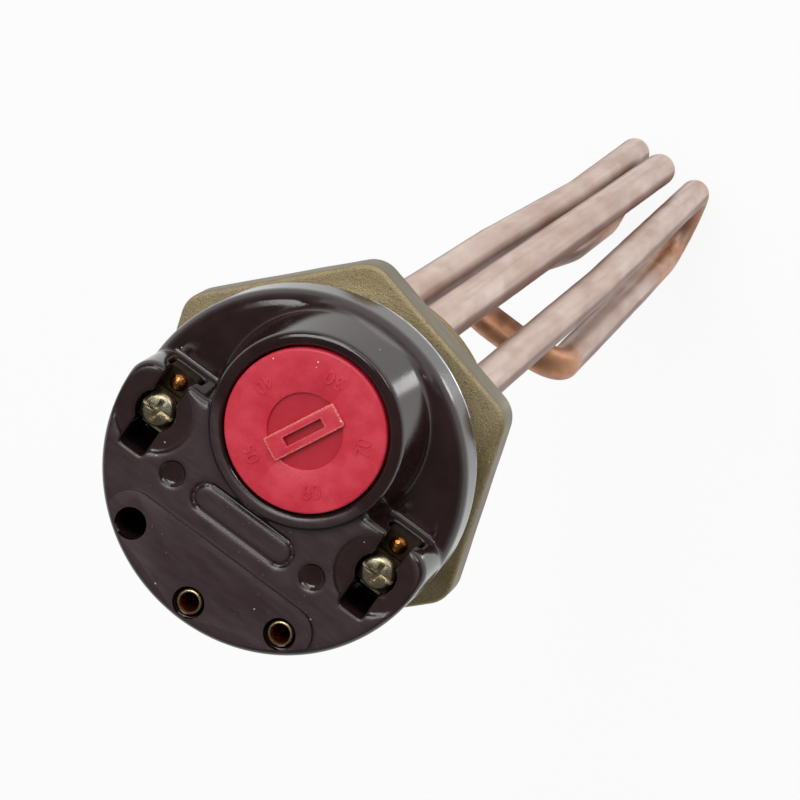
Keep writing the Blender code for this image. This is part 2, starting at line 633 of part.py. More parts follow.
def make_head(bakelite):
    edge = SHOULDER_ROUND
    profile = [(0, HEAD_LOW), (HEAD_SKIRT_RADIUS, HEAD_LOW), (HEAD_SKIRT_RADIUS, HEAD_RIM), (HEAD_RADIUS, HEAD_RIM)]
    profile += arc(HEAD_RADIUS - edge, SHOULDER_Z - edge, edge, 0, 90, 4) + [(0, SHOULDER_Z)]
    head = finish_mesh("head_cover", lathe(profile, ROUND_SIDES), bakelite)
    combine_all(head, [make_collar(), head_block(), make_pad()], "UNION")

    above = COLLAR_Z + 3 * MM
    mouth = 0.7 * MM
    recess = [(0, KNOB_SEAT), (COLLAR_HOLE_RADIUS, KNOB_SEAT), (COLLAR_HOLE_RADIUS, COLLAR_Z - mouth),
              (COLLAR_HOLE_RADIUS + mouth, COLLAR_Z), (COLLAR_HOLE_RADIUS + mouth, above), (0, above)]
    centre = (0, KNOB_Y)
    cutters = [lathe(recess, ROUND_SIDES, centre),
               cylinder(CAVITY_RADIUS, HEAD_LOW - MM, CAVITY_Z, sides=ROUND_SIDES),
               cylinder(SWITCH_ROOM_RADIUS, CAVITY_Z - MM, SWITCH_ROOM_Z, centre, 32),
               cylinder(SPINDLE_RADIUS + GAP, SWITCH_ROOM_Z - MM, KNOB_SEAT + MM, centre)]
    for side in (-1, 1):
        cutters += terminal_well(side, above)
    empty, *sockets = socket_places()
    cutters.append(cylinder(EMPTY_HOLE_RADIUS, CAVITY_Z - MM, above, empty))
    cutters += [socket_bore(place, above) for place in sockets]
    cutters.append(cartouche_groove(above))
    combine_all(head, cutters, "DIFFERENCE")
    return head


def make_knob(red, brass, joint):
    """Knob with its skirt, hub and slotted grip bar, and the spindle that it turns."""
    rim = 0.5 * MM
    face_low = KNOB_TOP - KNOB_FACE_METAL
    hub_bore_top = face_low - 0.4 * MM
    bore = SPINDLE_RADIUS + GAP
    profile = [(bore, KNOB_LOW), (KNOB_HUB_RADIUS, KNOB_LOW), (KNOB_HUB_RADIUS, face_low),
               (KNOB_RADIUS - KNOB_SKIRT, face_low), (KNOB_RADIUS - KNOB_SKIRT, KNOB_LOW), (KNOB_RADIUS, KNOB_LOW),
               (KNOB_RADIUS, KNOB_TOP - rim), (KNOB_RADIUS - rim, KNOB_TOP), (KNOB_RECESS_RADIUS + rim / 2, KNOB_TOP),
               (KNOB_RECESS_RADIUS, KNOB_TOP - KNOB_RECESS_DEPTH), (0, KNOB_TOP - KNOB_RECESS_DEPTH),
               (0, hub_bore_top), (bore, hub_bore_top)]
    knob = finish_mesh("control_knob", lathe(profile, 40), red)
    half_length = GRIP_LENGTH / 2
    half_width = GRIP_WIDTH / 2
    grip = prism(rectangle(-half_length, half_length, -half_width, half_width, 0.5 * MM, 2),
                 face_low + 0.5 * MM, KNOB_TOP + GRIP_RISE)
    bmesh.ops.rotate(grip, verts=grip.verts, matrix=Matrix.Rotation(GRIP_TURN, 3, "Z"))
    combine(knob, grip, "UNION")
    slot_length, slot_width, slot_depth = GRIP_SLOT
    slot = prism(rectangle(-slot_length / 2, slot_length / 2, -slot_width / 2, slot_width / 2),
                 KNOB_TOP + GRIP_RISE - slot_depth, KNOB_TOP + GRIP_RISE + MM)
    bmesh.ops.rotate(slot, verts=slot.verts, matrix=Matrix.Rotation(GRIP_TURN, 3, "Z"))
    combine(knob, slot)

    collar_top = SWITCH_ROOM_Z - GAP
    collar_low = collar_top - SPINDLE_COLLAR_HEIGHT
    tip = collar_low - SPINDLE_TIP
    top = hub_bore_top - GAP
    shaft = [(0, tip), (SPINDLE_RADIUS * 0.5, tip), (SPINDLE_RADIUS * 0.8, tip + 0.8 * MM),
             (SPINDLE_RADIUS * 0.8, collar_low), (SPINDLE_COLLAR_RADIUS, collar_low),
             (SPINDLE_COLLAR_RADIUS, collar_top), (SPINDLE_RADIUS, collar_top), (SPINDLE_RADIUS, top), (0, top)]
    spindle = finish_mesh("knob_spindle", lathe(shaft, SMALL_SIDES), brass)
    flat = rectangle(SPINDLE_RADIUS - SPINDLE_FLAT, SPINDLE_RADIUS + MM, -3 * MM, 3 * MM)
    combine(spindle, prism(flat, KNOB_LOW + MM, top + MM))
    for piece in (knob, spindle):
        seat_on_joint(piece, joint)


def joint_empty(name, place):
    made = bpy.data.objects.new(name, None)
    made.location = place
    bpy.context.scene.collection.objects.link(made)
    return made


def seat_on_joint(piece, joint):
    """A piece modelled about its own axis is placed by its joint's empty, with its tools."""
    for item in list(bpy.data.objects):
        if item == piece or item.name.startswith(piece.name + "_tool"):
            item.parent = joint


def make_terminal(side, word, brass):
    """Terminal block on the well's floor, its rivet, the clamp washer and the screw."""
    x = side * TERMINAL_X
    block_low = WELL_FLOOR + GAP
    head_top = FACE_Z - SCREW_HEAD_DROP
    head_low = head_top - SCREW_HEAD_HEIGHT
    clamp_top = head_low - GAP
    clamp_low = clamp_top - CLAMP_METAL
    block_top = clamp_low - GAP
    low_y = WELL_LOW_Y + GAP
    outline = rectangle(x - TERMINAL_BLOCK_WIDTH / 2, x + TERMINAL_BLOCK_WIDTH / 2,
                        low_y, low_y + TERMINAL_BLOCK_LENGTH, 0.6 * MM, 2)
    block = finish_mesh(f"terminal_block_{word}", prism(outline, block_low, block_top), brass)
    combine(block, cylinder(SCREW_SHANK_RADIUS + GAP, block_low - MM, block_top + MM, (x, TERMINAL_SCREW_Y), 16))
    combine(block, cylinder(RIVET_SHANK_RADIUS + GAP, block_low - MM, block_top + MM, (x, RIVET_Y), 12))

    rivet_seat = block_top + GAP
    dome = arc(0, rivet_seat, RIVET_HEAD_RADIUS, 0, 90, 4)
    scale = RIVET_HEAD_RISE / RIVET_HEAD_RADIUS
    dome = [(r, rivet_seat + (z - rivet_seat) * scale) for r, z in dome[:-1]] + [(0, rivet_seat + RIVET_HEAD_RISE)]
    profile = [(0, CAVITY_Z + GAP), (RIVET_SHANK_RADIUS, CAVITY_Z + GAP), (RIVET_SHANK_RADIUS, rivet_seat)] + dome
    finish_mesh(f"terminal_rivet_{word}", lathe(profile, 16, (x, RIVET_Y)), brass)

    joint = joint_empty(f"terminal_{word}_axis", (x, TERMINAL_SCREW_Y, 0))
    half_x = CLAMP_SIZE[0] / 2
    half_y = CLAMP_SIZE[1] / 2
    saddle = [(-half_y, clamp_low), (half_y, clamp_low), (half_y, clamp_top), (-half_y, clamp_top)]
    clamp = finish_mesh(f"clamp_washer_{word}", strip(saddle, -half_x, half_x, "X"), brass)
    combine(clamp, cylinder(SCREW_SHANK_RADIUS + GAP, clamp_low - MM, clamp_top + MM, sides=16))
    seat_on_joint(clamp, joint)

    low = head_low - SCREW_LENGTH
    profile = [(0, low), (SCREW_SHANK_RADIUS * 0.7, low), (SCREW_SHANK_RADIUS, low + 0.6 * MM),
               (SCREW_SHANK_RADIUS, head_low), (SCREW_HEAD_RADIUS, head_low),
               (SCREW_HEAD_RADIUS, head_top - 1.2 * MM)]
    profile += arc(SCREW_HEAD_RADIUS - 1.2 * MM, head_top - 1.2 * MM, 1.2 * MM, 25, 80, 3) + [(0, head_top)]
    screw = finish_mesh(f"terminal_screw_{word}", lathe(profile, SMALL_SIDES), brass)
    half = SCREW_SLOT_WIDTH / 2
    reach = SCREW_HEAD_RADIUS + MM
    combine(screw, prism(rectangle(-reach, reach, -half, half), head_top - SCREW_SLOT_DEPTH, head_top + MM))
    cross = SCREW_CROSS_LENGTH / 2
    recess = [(-half, -cross), (half, -cross), (half, -half), (cross, -half), (cross, half), (half, half),
              (half, cross), (-half, cross), (-half, half), (-cross, half), (-cross, -half), (-half, -half)]
    combine(screw, prism(recess, head_top - SCREW_CROSS_DEPTH, head_top + MM))
    seat_on_joint(screw, joint)


def make_sockets(brass):
    names = ("socket_tube_middle", "socket_tube_right")
    for name, place in zip(names, socket_places()[1:]):
        low = CAVITY_Z
        top = PAD_Z - 0.5 * MM
        lip = 0.3 * MM
        profile = [(SOCKET_BORE_RADIUS, low), (SOCKET_FLANGE_RADIUS, low), (SOCKET_FLANGE_RADIUS, low + SOCKET_FLANGE),
                   (SOCKET_RADIUS, low + SOCKET_FLANGE), (SOCKET_RADIUS, top - lip), (SOCKET_RADIUS - lip / 2, top),
                   (SOCKET_BORE_RADIUS + lip / 2, top), (SOCKET_BORE_RADIUS, top - lip)]
        finish_mesh(name, lathe(profile, SMALL_SIDES, place), brass)


def element_route():
    """Centreline of the element: down, back at the far fold, round the near bend, down, back and up."""
    straight_z = TUBE_PLATE_LOW - LEG_STRAIGHT

    def in_metres(places):
        return [tuple(value * MM for value in place) for place in places]

    def fold_radius(place, other):
        return math.dist(place, other) / 2 * MM * FOLD_SLACK

    left_fold = fold_radius(LEFT_OUT[-1], LEFT_BACK[0])
    right_fold = fold_radius(RIGHT_BACK[-1], RIGHT_OUT[0])
    corners = [(-LEG_X, LEG_Y, ELEMENT_TOP), (-LEG_X, LEG_Y, straight_z)]
    corners += in_metres(LEFT_OUT + LEFT_BACK)
    corners += [(*(value * MM for value in LEFT_NEAR), NEAR_Z), (*(value * MM for value in RIGHT_NEAR), NEAR_Z)]
    corners += in_metres(RIGHT_BACK + RIGHT_OUT)
    corners += [(LEG_X, LEG_Y, straight_z), (LEG_X, LEG_Y, ELEMENT_TOP)]
    radii = [BOW_RADIUS, BOW_RADIUS, BOW_RADIUS, left_fold, left_fold, KINK_RADIUS, KINK_RADIUS,
             NEAR_BEND_RADIUS, NEAR_BEND_RADIUS, BOW_RADIUS, right_fold, right_fold,
             BOW_RADIUS, BOW_RADIUS, BOW_RADIUS]
    return rounded_route(corners, radii)


def make_element(copper, ceramic, steel, braze):
    element = finish_mesh("heating_element", tube_along(element_route(), ELEMENT_RADIUS), copper, 60)
    words = ("left", "right")
    for word, x in zip(words, (-LEG_X, LEG_X)):
        combine(element, cylinder(PIN_RADIUS + GAP, ELEMENT_TOP - PIN_SEAT, ELEMENT_TOP + MM, (x, LEG_Y), 16))
        low = ELEMENT_TOP + GAP
        top = low + SEAL_HEIGHT
        hole = PIN_RADIUS + GAP
        profile = [(hole, low), (SEAL_RADIUS, low), (SEAL_RADIUS, top - 1.2 * MM), (SEAL_RADIUS - 1.2 * MM, top),
                   (hole, top)]
        finish_mesh(f"end_seal_{word}", lathe(profile, SMALL_SIDES, (x, LEG_Y)), ceramic)
        pin_low = ELEMENT_TOP - PIN_SEAT + GAP
        profile = [(0, pin_low), (PIN_RADIUS, pin_low), (PIN_RADIUS, PIN_SOCKET_TOP - 0.9 * MM),
                   (PIN_RADIUS * 0.5, PIN_SOCKET_TOP - 0.3 * MM), (0, PIN_SOCKET_TOP - 0.3 * MM)]
        finish_mesh(f"element_pin_{word}", lathe(profile, 16, (x, LEG_Y)), steel)
        braze_ring(f"braze_ring_{word}", ELEMENT_RADIUS, (x, LEG_Y), braze)
    braze_ring("braze_ring_pocket", POCKET_RADIUS, POCKET_PLACE, braze)


def braze_ring(name, tube_radius, place, braze):
    """Fillet of filler metal round a tube, under the tube plate."""
    inside = tube_radius + GAP
    top = TUBE_PLATE_LOW - GAP
    fillet = arc(inside + BRAZE_WIDTH, top - BRAZE_WIDTH, BRAZE_WIDTH * 0.88, 92, 178, 3)
    profile = [(inside, top), (inside, top - BRAZE_WIDTH)] + fillet[::-1] + [(inside + BRAZE_WIDTH, top)]
    finish_mesh(name, lathe(profile, SMALL_SIDES, place), braze)


def make_pocket(copper):
    bore = POCKET_RADIUS - POCKET_WALL
    seat = TUBE_PLATE_TOP + GAP
    top = seat + POCKET_FLANGE
    outer = arc(0, POCKET_END_Z + POCKET_RADIUS, POCKET_RADIUS, -90, 0, 5)
    inner = arc(0, POCKET_END_Z + POCKET_RADIUS, bore, 0, -90, 5)
    profile = [(0, POCKET_END_Z)] + outer[1:] + [(POCKET_RADIUS, seat), (POCKET_FLANGE_RADIUS, seat),
                                                 (POCKET_FLANGE_RADIUS, top), (bore, top)]
    profile += inner[:-1] + [(0, POCKET_END_Z + POCKET_WALL)]
    finish_mesh("rod_pocket", lathe(profile, SMALL_SIDES, POCKET_PLACE), copper)


def make_sensing_parts(brass, steel, joint):
    bore = SENSING_RADIUS - SENSING_WALL
    low = SENSING_TOP - SENSING_LENGTH
    seat = BRACKET_FLOOR + GAP
    profile = [(0, low), (SENSING_RADIUS - MM, low), (SENSING_RADIUS, low + MM), (SENSING_RADIUS, seat),
               (SENSING_FLANGE_RADIUS, seat), (SENSING_FLANGE_RADIUS, SENSING_TOP), (bore, SENSING_TOP),
               (bore, low + 2 * MM), (0, low + 2 * MM)]
    finish_mesh("sensing_tube", lathe(profile, SMALL_SIDES, POCKET_PLACE), brass)
    rod_low = low + 2 * MM + ROD_TRAVEL + GAP
    rod_top = LEVER_LOW - GAP
    tip = 0.5 * MM
    profile = [(0, rod_low), (ROD_RADIUS, rod_low), (ROD_RADIUS, rod_top - tip), (ROD_RADIUS - tip, rod_top),
               (0, rod_top)]
    rod = finish_mesh("expansion_rod", lathe(profile, 16), steel)
    seat_on_joint(rod, joint)


def make_bracket(steel):
    """Channel that carries the sensing tube's flange and the lever's pivot."""
    low_y = LEVER_PIVOT[0] - EAR_LENGTH / 2
    outer = BRACKET_HALF_WIDTH + BRACKET_METAL
    ear_top = LEVER_PIVOT[1] + EAR_LENGTH / 2
    channel = [(-outer, BRACKET_LOW), (outer, BRACKET_LOW), (outer, ear_top), (BRACKET_HALF_WIDTH, ear_top),
               (BRACKET_HALF_WIDTH, BRACKET_FLOOR), (-BRACKET_HALF_WIDTH, BRACKET_FLOOR),
               (-BRACKET_HALF_WIDTH, ear_top), (-outer, ear_top)]
    bracket = finish_mesh("switch_bracket", strip(channel, low_y, low_y + BRACKET_LENGTH, "Y"), steel)
    wall = rectangle(-outer - MM, outer + MM, low_y + EAR_LENGTH, low_y + BRACKET_LENGTH + MM)
    combine(bracket, prism(wall, BRACKET_FLOOR + 2.5 * MM, ear_top + MM))
    combine(bracket, cylinder(SENSING_RADIUS + GAP, BRACKET_LOW - MM, BRACKET_FLOOR + MM, POCKET_PLACE))
    combine(bracket, pivot_bar(PIVOT_RADIUS + GAP, outer + MM))


def pivot_bar(radius, half_length):
    """Round bar along X through the lever's pivot."""
    bm = cylinder(radius, -half_length, half_length, sides=16)
    bmesh.ops.rotate(bm, verts=bm.verts, matrix=Matrix.Rotation(math.pi / 2, 3, "Y"))
    bmesh.ops.translate(bm, verts=bm.verts, vec=(0, LEVER_PIVOT[0], LEVER_PIVOT[1]))
    return bm


def make_lever(brass, bronze, steel, joint):
    """Lever on its pivot pin, and the contact blade on the lever's end."""
    finish_mesh("lever_pin", pivot_bar(PIVOT_RADIUS, BRACKET_HALF_WIDTH + BRACKET_METAL), steel)
    half = LEVER_WIDTH / 2
    eye = 2.2 * MM
    plan = [(LEVER_PIVOT[0] - eye, LEVER_LOW), (LEVER_END_Y, LEVER_LOW), (LEVER_END_Y, LEVER_TOP)]
    plan += arc(LEVER_PIVOT[0], LEVER_PIVOT[1], eye, math.degrees(math.asin(LEVER_METAL / 2 / eye)), 200, 8)
    lever = finish_mesh("switch_lever", strip(plan[1:], -half, half, "X"), brass)
    combine(lever, pivot_bar(PIVOT_RADIUS + GAP, half + MM))
    seat_at(lever, joint)
    blade_low = LEVER_TOP + GAP
    blade_top = blade_low + BLADE_METAL
    start_y = KNOB_Y + ROD_RADIUS + 2 * MM
    end_y = LEVER_END_Y + 4 * MM
    half_blade = BLADE_WIDTH / 2
    blade = finish_mesh("contact_blade", prism(rectangle(-half_blade, half_blade, start_y, end_y), blade_low,
                                               blade_top), bronze)
    contact_y = end_y - half_blade
    combine(blade, cylinder(CONTACT_RADIUS, blade_low + BLADE_METAL / 2, blade_top + CONTACT_HEIGHT,
                            (0, contact_y), 16), "UNION")
    seat_at(blade, joint)

    strip_low = blade_top + CONTACT_HEIGHT + GAP
    riser = -half_blade - 3 * MM
    strip_top = strip_low + STRAP_METAL
    foot_low = CAVITY_Z - GAP - STRAP_METAL
    foot_top = foot_low + STRAP_METAL
    foot_x = -SWITCH_ROOM_RADIUS * 0.55
    bent = [(foot_x, foot_low), (riser, foot_low), (riser, strip_low), (half_blade, strip_low),
            (half_blade, strip_top), (riser - STRAP_METAL, strip_top), (riser - STRAP_METAL, foot_top),
            (foot_x, foot_top)]
    low_y = contact_y - half_blade
    finish_mesh("fixed_contact", strip(bent, low_y, contact_y + half_blade, "Y"), brass)
    return foot_x, low_y


def seat_at(piece, joint):
    """Moves a finished piece's origin to its joint without moving its shape."""
    shift = Matrix.Translation(-joint.location)
    for item in list(bpy.data.objects):
        if item == piece or item.name.startswith(piece.name + "_tool"):
            item.data.transform(shift)
            item.parent = joint


def make_straps(brass, foot_x, foot_y):
    """Lead straps from the terminal blocks, down their slots and across the low cavity."""
    half = STRAP_WIDTH / 2
    tab_high = WELL_LOW_Y - 0.2 * MM
    tab_low = tab_high - STRAP_METAL
    tab_top = WELL_FLOOR + 2.6 * MM
    low_y = LEG_Y - half
    high_y = LEG_Y + half
    left_end = foot_x - GAP
    left_route = [(-TERMINAL_X + half, 0), (left_end, foot_y), (left_end, foot_y + BLADE_WIDTH),
                  (left_end - STRAP_WIDTH / 2, foot_y + BLADE_WIDTH), (-TERMINAL_X - half, half)]
    right_route = [(TERMINAL_X + half, high_y), (LEG_X - half, high_y), (LEG_X - half, low_y),
                   (TERMINAL_X - half, low_y)]
    for x, word, route in ((-TERMINAL_X, "left", left_route), (TERMINAL_X, "right", right_route)):
        plan = [(x - half, tab_low), (x + half, tab_low)] + route
        strap = finish_mesh(f"lead_strap_{word}", prism(plan, STRAP_Z, STRAP_Z + STRAP_METAL), brass)
        tab = rectangle(x - half, x + half, tab_low, tab_high)
        combine(strap, prism(tab, STRAP_Z + STRAP_METAL / 2, tab_top), "UNION")
    link = rectangle(-LEG_X - half, -BRACKET_HALF_WIDTH - BRACKET_METAL - GAP, low_y, high_y)
    finish_mesh("link_strap", prism(link, STRAP_Z, STRAP_Z + STRAP_METAL), brass)


def make_pin_sockets(brass, ceramic):
    bore = PIN_RADIUS + GAP
    for word, x in (("left", -LEG_X), ("right", LEG_X)):
        low = PIN_SOCKET_TOP - PIN_SOCKET_LENGTH
        outer = bore + PIN_SOCKET_WALL
        profile = [(bore, low), (outer, low), (outer, PIN_SOCKET_TOP), (bore, PIN_SOCKET_TOP)]
        socket = finish_mesh(f"pin_socket_{word}", lathe(profile, SMALL_SIDES, (x, LEG_Y)), brass)
        slit = rectangle(x - 0.25 * MM, x + 0.25 * MM, LEG_Y, LEG_Y + 2 * outer)
        combine(socket, prism(slit, low - MM, PIN_SOCKET_TOP - MM))
        floor = PLATE_FLOOR + GAP
        profile = [(bore, PLATE_LOW - MM), (BUSH_RADIUS, PLATE_LOW - MM), (BUSH_RADIUS, floor),
                   (BUSH_FLANGE_RADIUS, floor), (BUSH_FLANGE_RADIUS, floor + BUSH_FLANGE), (bore, floor + BUSH_FLANGE)]
        finish_mesh(f"pin_bush_{word}", lathe(profile, SMALL_SIDES, (x, LEG_Y)), ceramic)


def build():
    clear_scene()
    brass = material("plug_brass", (0.45, 0.37, 0.18), 0.42, 1.0)
    bright_brass = material("terminal_brass", (0.72, 0.55, 0.25), 0.3, 1.0)
    zinc = material("zinc_plate", (0.62, 0.66, 0.72), 0.28, 1.0)
    bakelite = material("dark_bakelite", (0.045, 0.028, 0.032), 0.18)
    red = material("red_knob", (0.62, 0.03, 0.06), 0.38)
    copper = material("dull_copper", (0.68, 0.42, 0.34), 0.4, 1.0)
    ceramic = material("white_ceramic", (0.82, 0.79, 0.72), 0.6)
    steel = material("plated_steel", (0.58, 0.58, 0.57), 0.35, 1.0)
    bronze = material("spring_bronze", (0.62, 0.42, 0.24), 0.32, 1.0)
    braze = material("braze_metal", (0.7, 0.66, 0.52), 0.4, 1.0)

    make_plug(brass)
    make_base_plate(zinc)
    make_plate_screws(steel)
    make_head(bakelite)
    make_knob(red, bright_brass, joint_empty("knob_axis", (0, KNOB_Y, 0)))
    make_terminal(-1, "left", bright_brass)
    make_terminal(1, "right", bright_brass)
    make_sockets(bright_brass)
    make_element(copper, ceramic, steel, braze)
    make_pocket(copper)
    make_sensing_parts(bright_brass, steel, joint_empty("rod_axis", (*POCKET_PLACE, 0)))
    make_bracket(steel)
    lever_axis = joint_empty("lever_axis", (0, *LEVER_PIVOT))
    foot_x, foot_y = make_lever(bright_brass, bronze, steel, lever_axis)
    make_straps(bright_brass, foot_x, foot_y)
    make_pin_sockets(bright_brass, ceramic)


build()
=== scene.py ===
import json
import math

import bmesh
import bpy
import numpy as np
from mathutils import Matrix, Vector, noise


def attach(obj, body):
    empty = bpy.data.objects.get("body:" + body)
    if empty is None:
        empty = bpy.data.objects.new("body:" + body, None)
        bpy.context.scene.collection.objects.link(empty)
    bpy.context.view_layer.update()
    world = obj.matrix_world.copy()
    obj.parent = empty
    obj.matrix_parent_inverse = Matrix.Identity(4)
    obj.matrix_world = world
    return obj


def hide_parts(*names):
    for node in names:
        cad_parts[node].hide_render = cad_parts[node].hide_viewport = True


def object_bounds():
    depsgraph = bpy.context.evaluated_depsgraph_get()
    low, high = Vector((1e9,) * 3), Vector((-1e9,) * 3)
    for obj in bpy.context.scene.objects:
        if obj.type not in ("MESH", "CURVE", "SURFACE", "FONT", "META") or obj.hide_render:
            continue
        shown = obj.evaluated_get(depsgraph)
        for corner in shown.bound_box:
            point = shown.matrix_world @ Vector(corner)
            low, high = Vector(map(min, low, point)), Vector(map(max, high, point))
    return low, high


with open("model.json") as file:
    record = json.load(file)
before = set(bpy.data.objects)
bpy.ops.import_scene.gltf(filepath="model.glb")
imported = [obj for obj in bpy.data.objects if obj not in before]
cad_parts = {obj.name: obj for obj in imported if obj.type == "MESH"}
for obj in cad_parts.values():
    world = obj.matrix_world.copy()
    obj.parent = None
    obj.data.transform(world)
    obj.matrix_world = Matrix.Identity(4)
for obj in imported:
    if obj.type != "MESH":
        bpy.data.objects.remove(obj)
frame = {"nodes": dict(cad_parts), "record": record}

cad_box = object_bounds()

MM = 0.001
GAP = 0.3 * MM
HOUSING = "housing"

# sizes and places as the CAD part has them, in metres
HEX_FLATS = 70.0 * MM
HEX_TURN = math.radians(76.2)
HEX_THICKNESS = 8.0 * MM
HEX_CORNER_RADIUS = 6.0 * MM
THREAD_ROOT = 28.3 * MM
THREAD_CREST = 29.7 * MM
THREAD_PITCH = 2.309 * MM
THREAD_START = -21.2 * MM
THREAD_LOW = -22.0 * MM
THREAD_UNDERCUT = 4.0 * MM
TUBE_PLATE_TOP = -14.0 * MM
CUP_RADIUS = 24.7 * MM
SPIGOT_RADIUS = 31.0 * MM
SPIGOT_TOP = 13.0 * MM
PLATE_RADIUS = 34.8 * MM
PLATE_METAL = 1.2 * MM
PLATE_LOW = 13.3 * MM
PLATE_FLOOR = 14.5 * MM
HEAD_LOW = 14.8 * MM
HEAD_RADIUS = 35.2 * MM
HEAD_SKIRT_RADIUS = 33.3 * MM
CAVITY_RADIUS = 31.3 * MM
CAVITY_Z = 22.8 * MM
SHOULDER_Z = 26.8 * MM
SWITCH_ROOM_Z = 32.0 * MM
SWITCH_ROOM_RADIUS = 14.5 * MM
KNOB_SEAT = 34.4 * MM
FACE_Z = 38.9 * MM
PAD_Z = 40.0 * MM
COLLAR_Z = 40.6 * MM
KNOB_Y = 12.65 * MM
KNOB_RADIUS = 16.2 * MM
KNOB_LOW = 34.7 * MM
KNOB_TOP = 40.6 * MM
GRIP_TURN = math.radians(63)
GRIP_DISC = 7.5 * MM
COLLAR_HOLE_RADIUS = 16.6 * MM
COLLAR_RADIUS = 19.4 * MM
WELL_FLOOR = 29.1 * MM
TERMINAL_X = 26.6 * MM
TERMINAL_Y = -3.1 * MM
RIVET_Y = 2.9 * MM
SOCKET_CIRCLE = 30.1 * MM
SOCKET_PITCH = math.radians(37)
POCKET_PLACE = (-2.2 * MM, 12.65 * MM)
POCKET_RADIUS = 4.7 * MM
POCKET_END_Z = -336.0 * MM
ELEMENT_RADIUS = 4.25 * MM
ELEMENT_TOP = -8.0 * MM
LEG_X = 13.5 * MM
LEG_Y = 7.5 * MM

# rims that stand 2.6 mm lower than the CAD part's, as the photograph shows them
PLATE_RIM_TOP = 16.1 * MM
HEAD_RIM = 16.4 * MM

# openings of the head and the plate
SOCKET_MOUTH = 3.3 * MM
PLATE_SEAL_HOLE = 3.3 * MM
PLATE_ROD_HOLE = 3.85 * MM
SPINDLE_HOLE = 2.3 * MM


# shapes

def shade(mesh, smooth_angle):
    """Smooth shading, with sharp edges from this angle on. At 180 degrees no edge is sharp."""
    mesh.shade_smooth()
    if smooth_angle < 180:
        mesh.set_sharp_from_angle(angle=math.radians(smooth_angle))


def new_piece(name, mesh, smooth_angle=35):
    shade(mesh, smooth_angle)
    made = bpy.data.objects.new(name, mesh)
    bpy.context.scene.collection.objects.link(made)
    return made


def from_bmesh(name, bm, smooth_angle=35):
    bmesh.ops.recalc_face_normals(bm, faces=bm.faces)
    mesh = bpy.data.meshes.new(name)
    bm.to_mesh(mesh)
    bm.free()
    return new_piece(name, mesh, smooth_angle)


def arc(cx, cy, radius, start, end, steps):
    """Points of an arc, with its angles in degrees."""
    angles = np.radians(np.linspace(start, end, steps + 1))
    return [(cx + radius * math.cos(a), cy + radius * math.sin(a)) for a in angles]


def rectangle(low_x, high_x, low_y, high_y, radius=0.0, steps=6):
    """Plan outline of a rectangle, with rounded corners where a radius is given."""
    if radius <= 0:
        return [(low_x, low_y), (high_x, low_y), (high_x, high_y), (low_x, high_y)]
    return (arc(high_x - radius, low_y + radius, radius, -90, 0, steps)
            + arc(high_x - radius, high_y - radius, radius, 0, 90, steps)
            + arc(low_x + radius, high_y - radius, radius, 90, 180, steps)
            + arc(low_x + radius, low_y + radius, radius, 180, 270, steps))


def skin(rings, ends="caps"):
    """Body whose surface runs through rings of points. Its ends are capped, or joined to each other."""
    bm = bmesh.new()
    rows = [[bm.verts.new(point) for point in ring] for ring in rings]
    count = len(rings[0])
    pairs = list(zip(rows, rows[1:]))
    if ends == "joined":
        pairs.append((rows[-1], rows[0]))
    for low, high in pairs:
        for step in range(count):
            follow = (step + 1) % count
            bm.faces.new((low[step], low[follow], high[follow], high[step]))
    if ends == "caps":
        bm.faces.new(rows[0][::-1])
        bm.faces.new(rows[-1])
    return bm


def lathe(profile, sides=96, centre=(0.0, 0.0), ends="caps"):
    """Turned body about a vertical axis, from (radius, z) points."""
    x, y = centre
    turns = [2 * math.pi * step / sides for step in range(sides)]
    rings = []
    for radius, z in profile:
        rings.append([(x + radius * math.cos(t), y + radius * math.sin(t), z) for t in turns])
    return skin(rings, ends)


def prism(outline, low, high):
    return skin([[(x, y, low) for x, y in outline], [(x, y, high) for x, y in outline]])


def cylinder(radius, low, high, centre=(0.0, 0.0), sides=64):
    return lathe([(radius, low), (radius, high)], sides, centre)


def add_modifier(target, kind, **settings):
    step = target.modifiers.new(kind.lower(), kind)
    for key, value in settings.items():
        setattr(step, key, value)
    return step


def settle(target, smooth_angle=35):
    """Applies the piece's modifiers to its mesh."""
    bpy.context.view_layer.update()
    graph = bpy.context.evaluated_depsgraph_get()
    mesh = bpy.data.meshes.new_from_object(target.evaluated_get(graph))
    target.modifiers.clear()
    target.data = mesh
    shade(mesh, smooth_angle)
    return target


def combine(target, shapes, operation="DIFFERENCE"):
    """Cuts the shapes out of the target, or joins or keeps them, and removes them afterwards."""
    group = bpy.data.collections.new(target.name + "_shapes")
    bpy.context.scene.collection.children.link(group)
    tools = []
    for shape in shapes:
        tool = from_bmesh(target.name + "_shape", shape) if isinstance(shape, bmesh.types.BMesh) else shape
        for holder in list(tool.users_collection):
            holder.objects.unlink(tool)
        group.objects.link(tool)
        tools.append(tool)
    add_modifier(target, "BOOLEAN", operation=operation, solver="EXACT", operand_type="COLLECTION",
                 collection=group)
    settle(target)
    for tool in tools:
        bpy.data.objects.remove(tool)
    bpy.data.collections.remove(group)
    return target


def bevelled(target, width, segments, angle):
    """Rounds the edges that turn by more than this angle."""
    add_modifier(target, "BEVEL", width=width, segments=segments, limit_method="ANGLE",
                 angle_limit=math.radians(angle), use_clamp_overlap=True)
    return settle(target)


def place_on(piece, body, finish, slot, *nodes):
    """Gives a piece its finish, its body and the CAD nodes that it stands for."""
    piece.data.materials.clear()
    piece.data.materials.append(finish)
    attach(piece, body)
    if nodes:
        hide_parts(*nodes)
    return piece


# shader maths

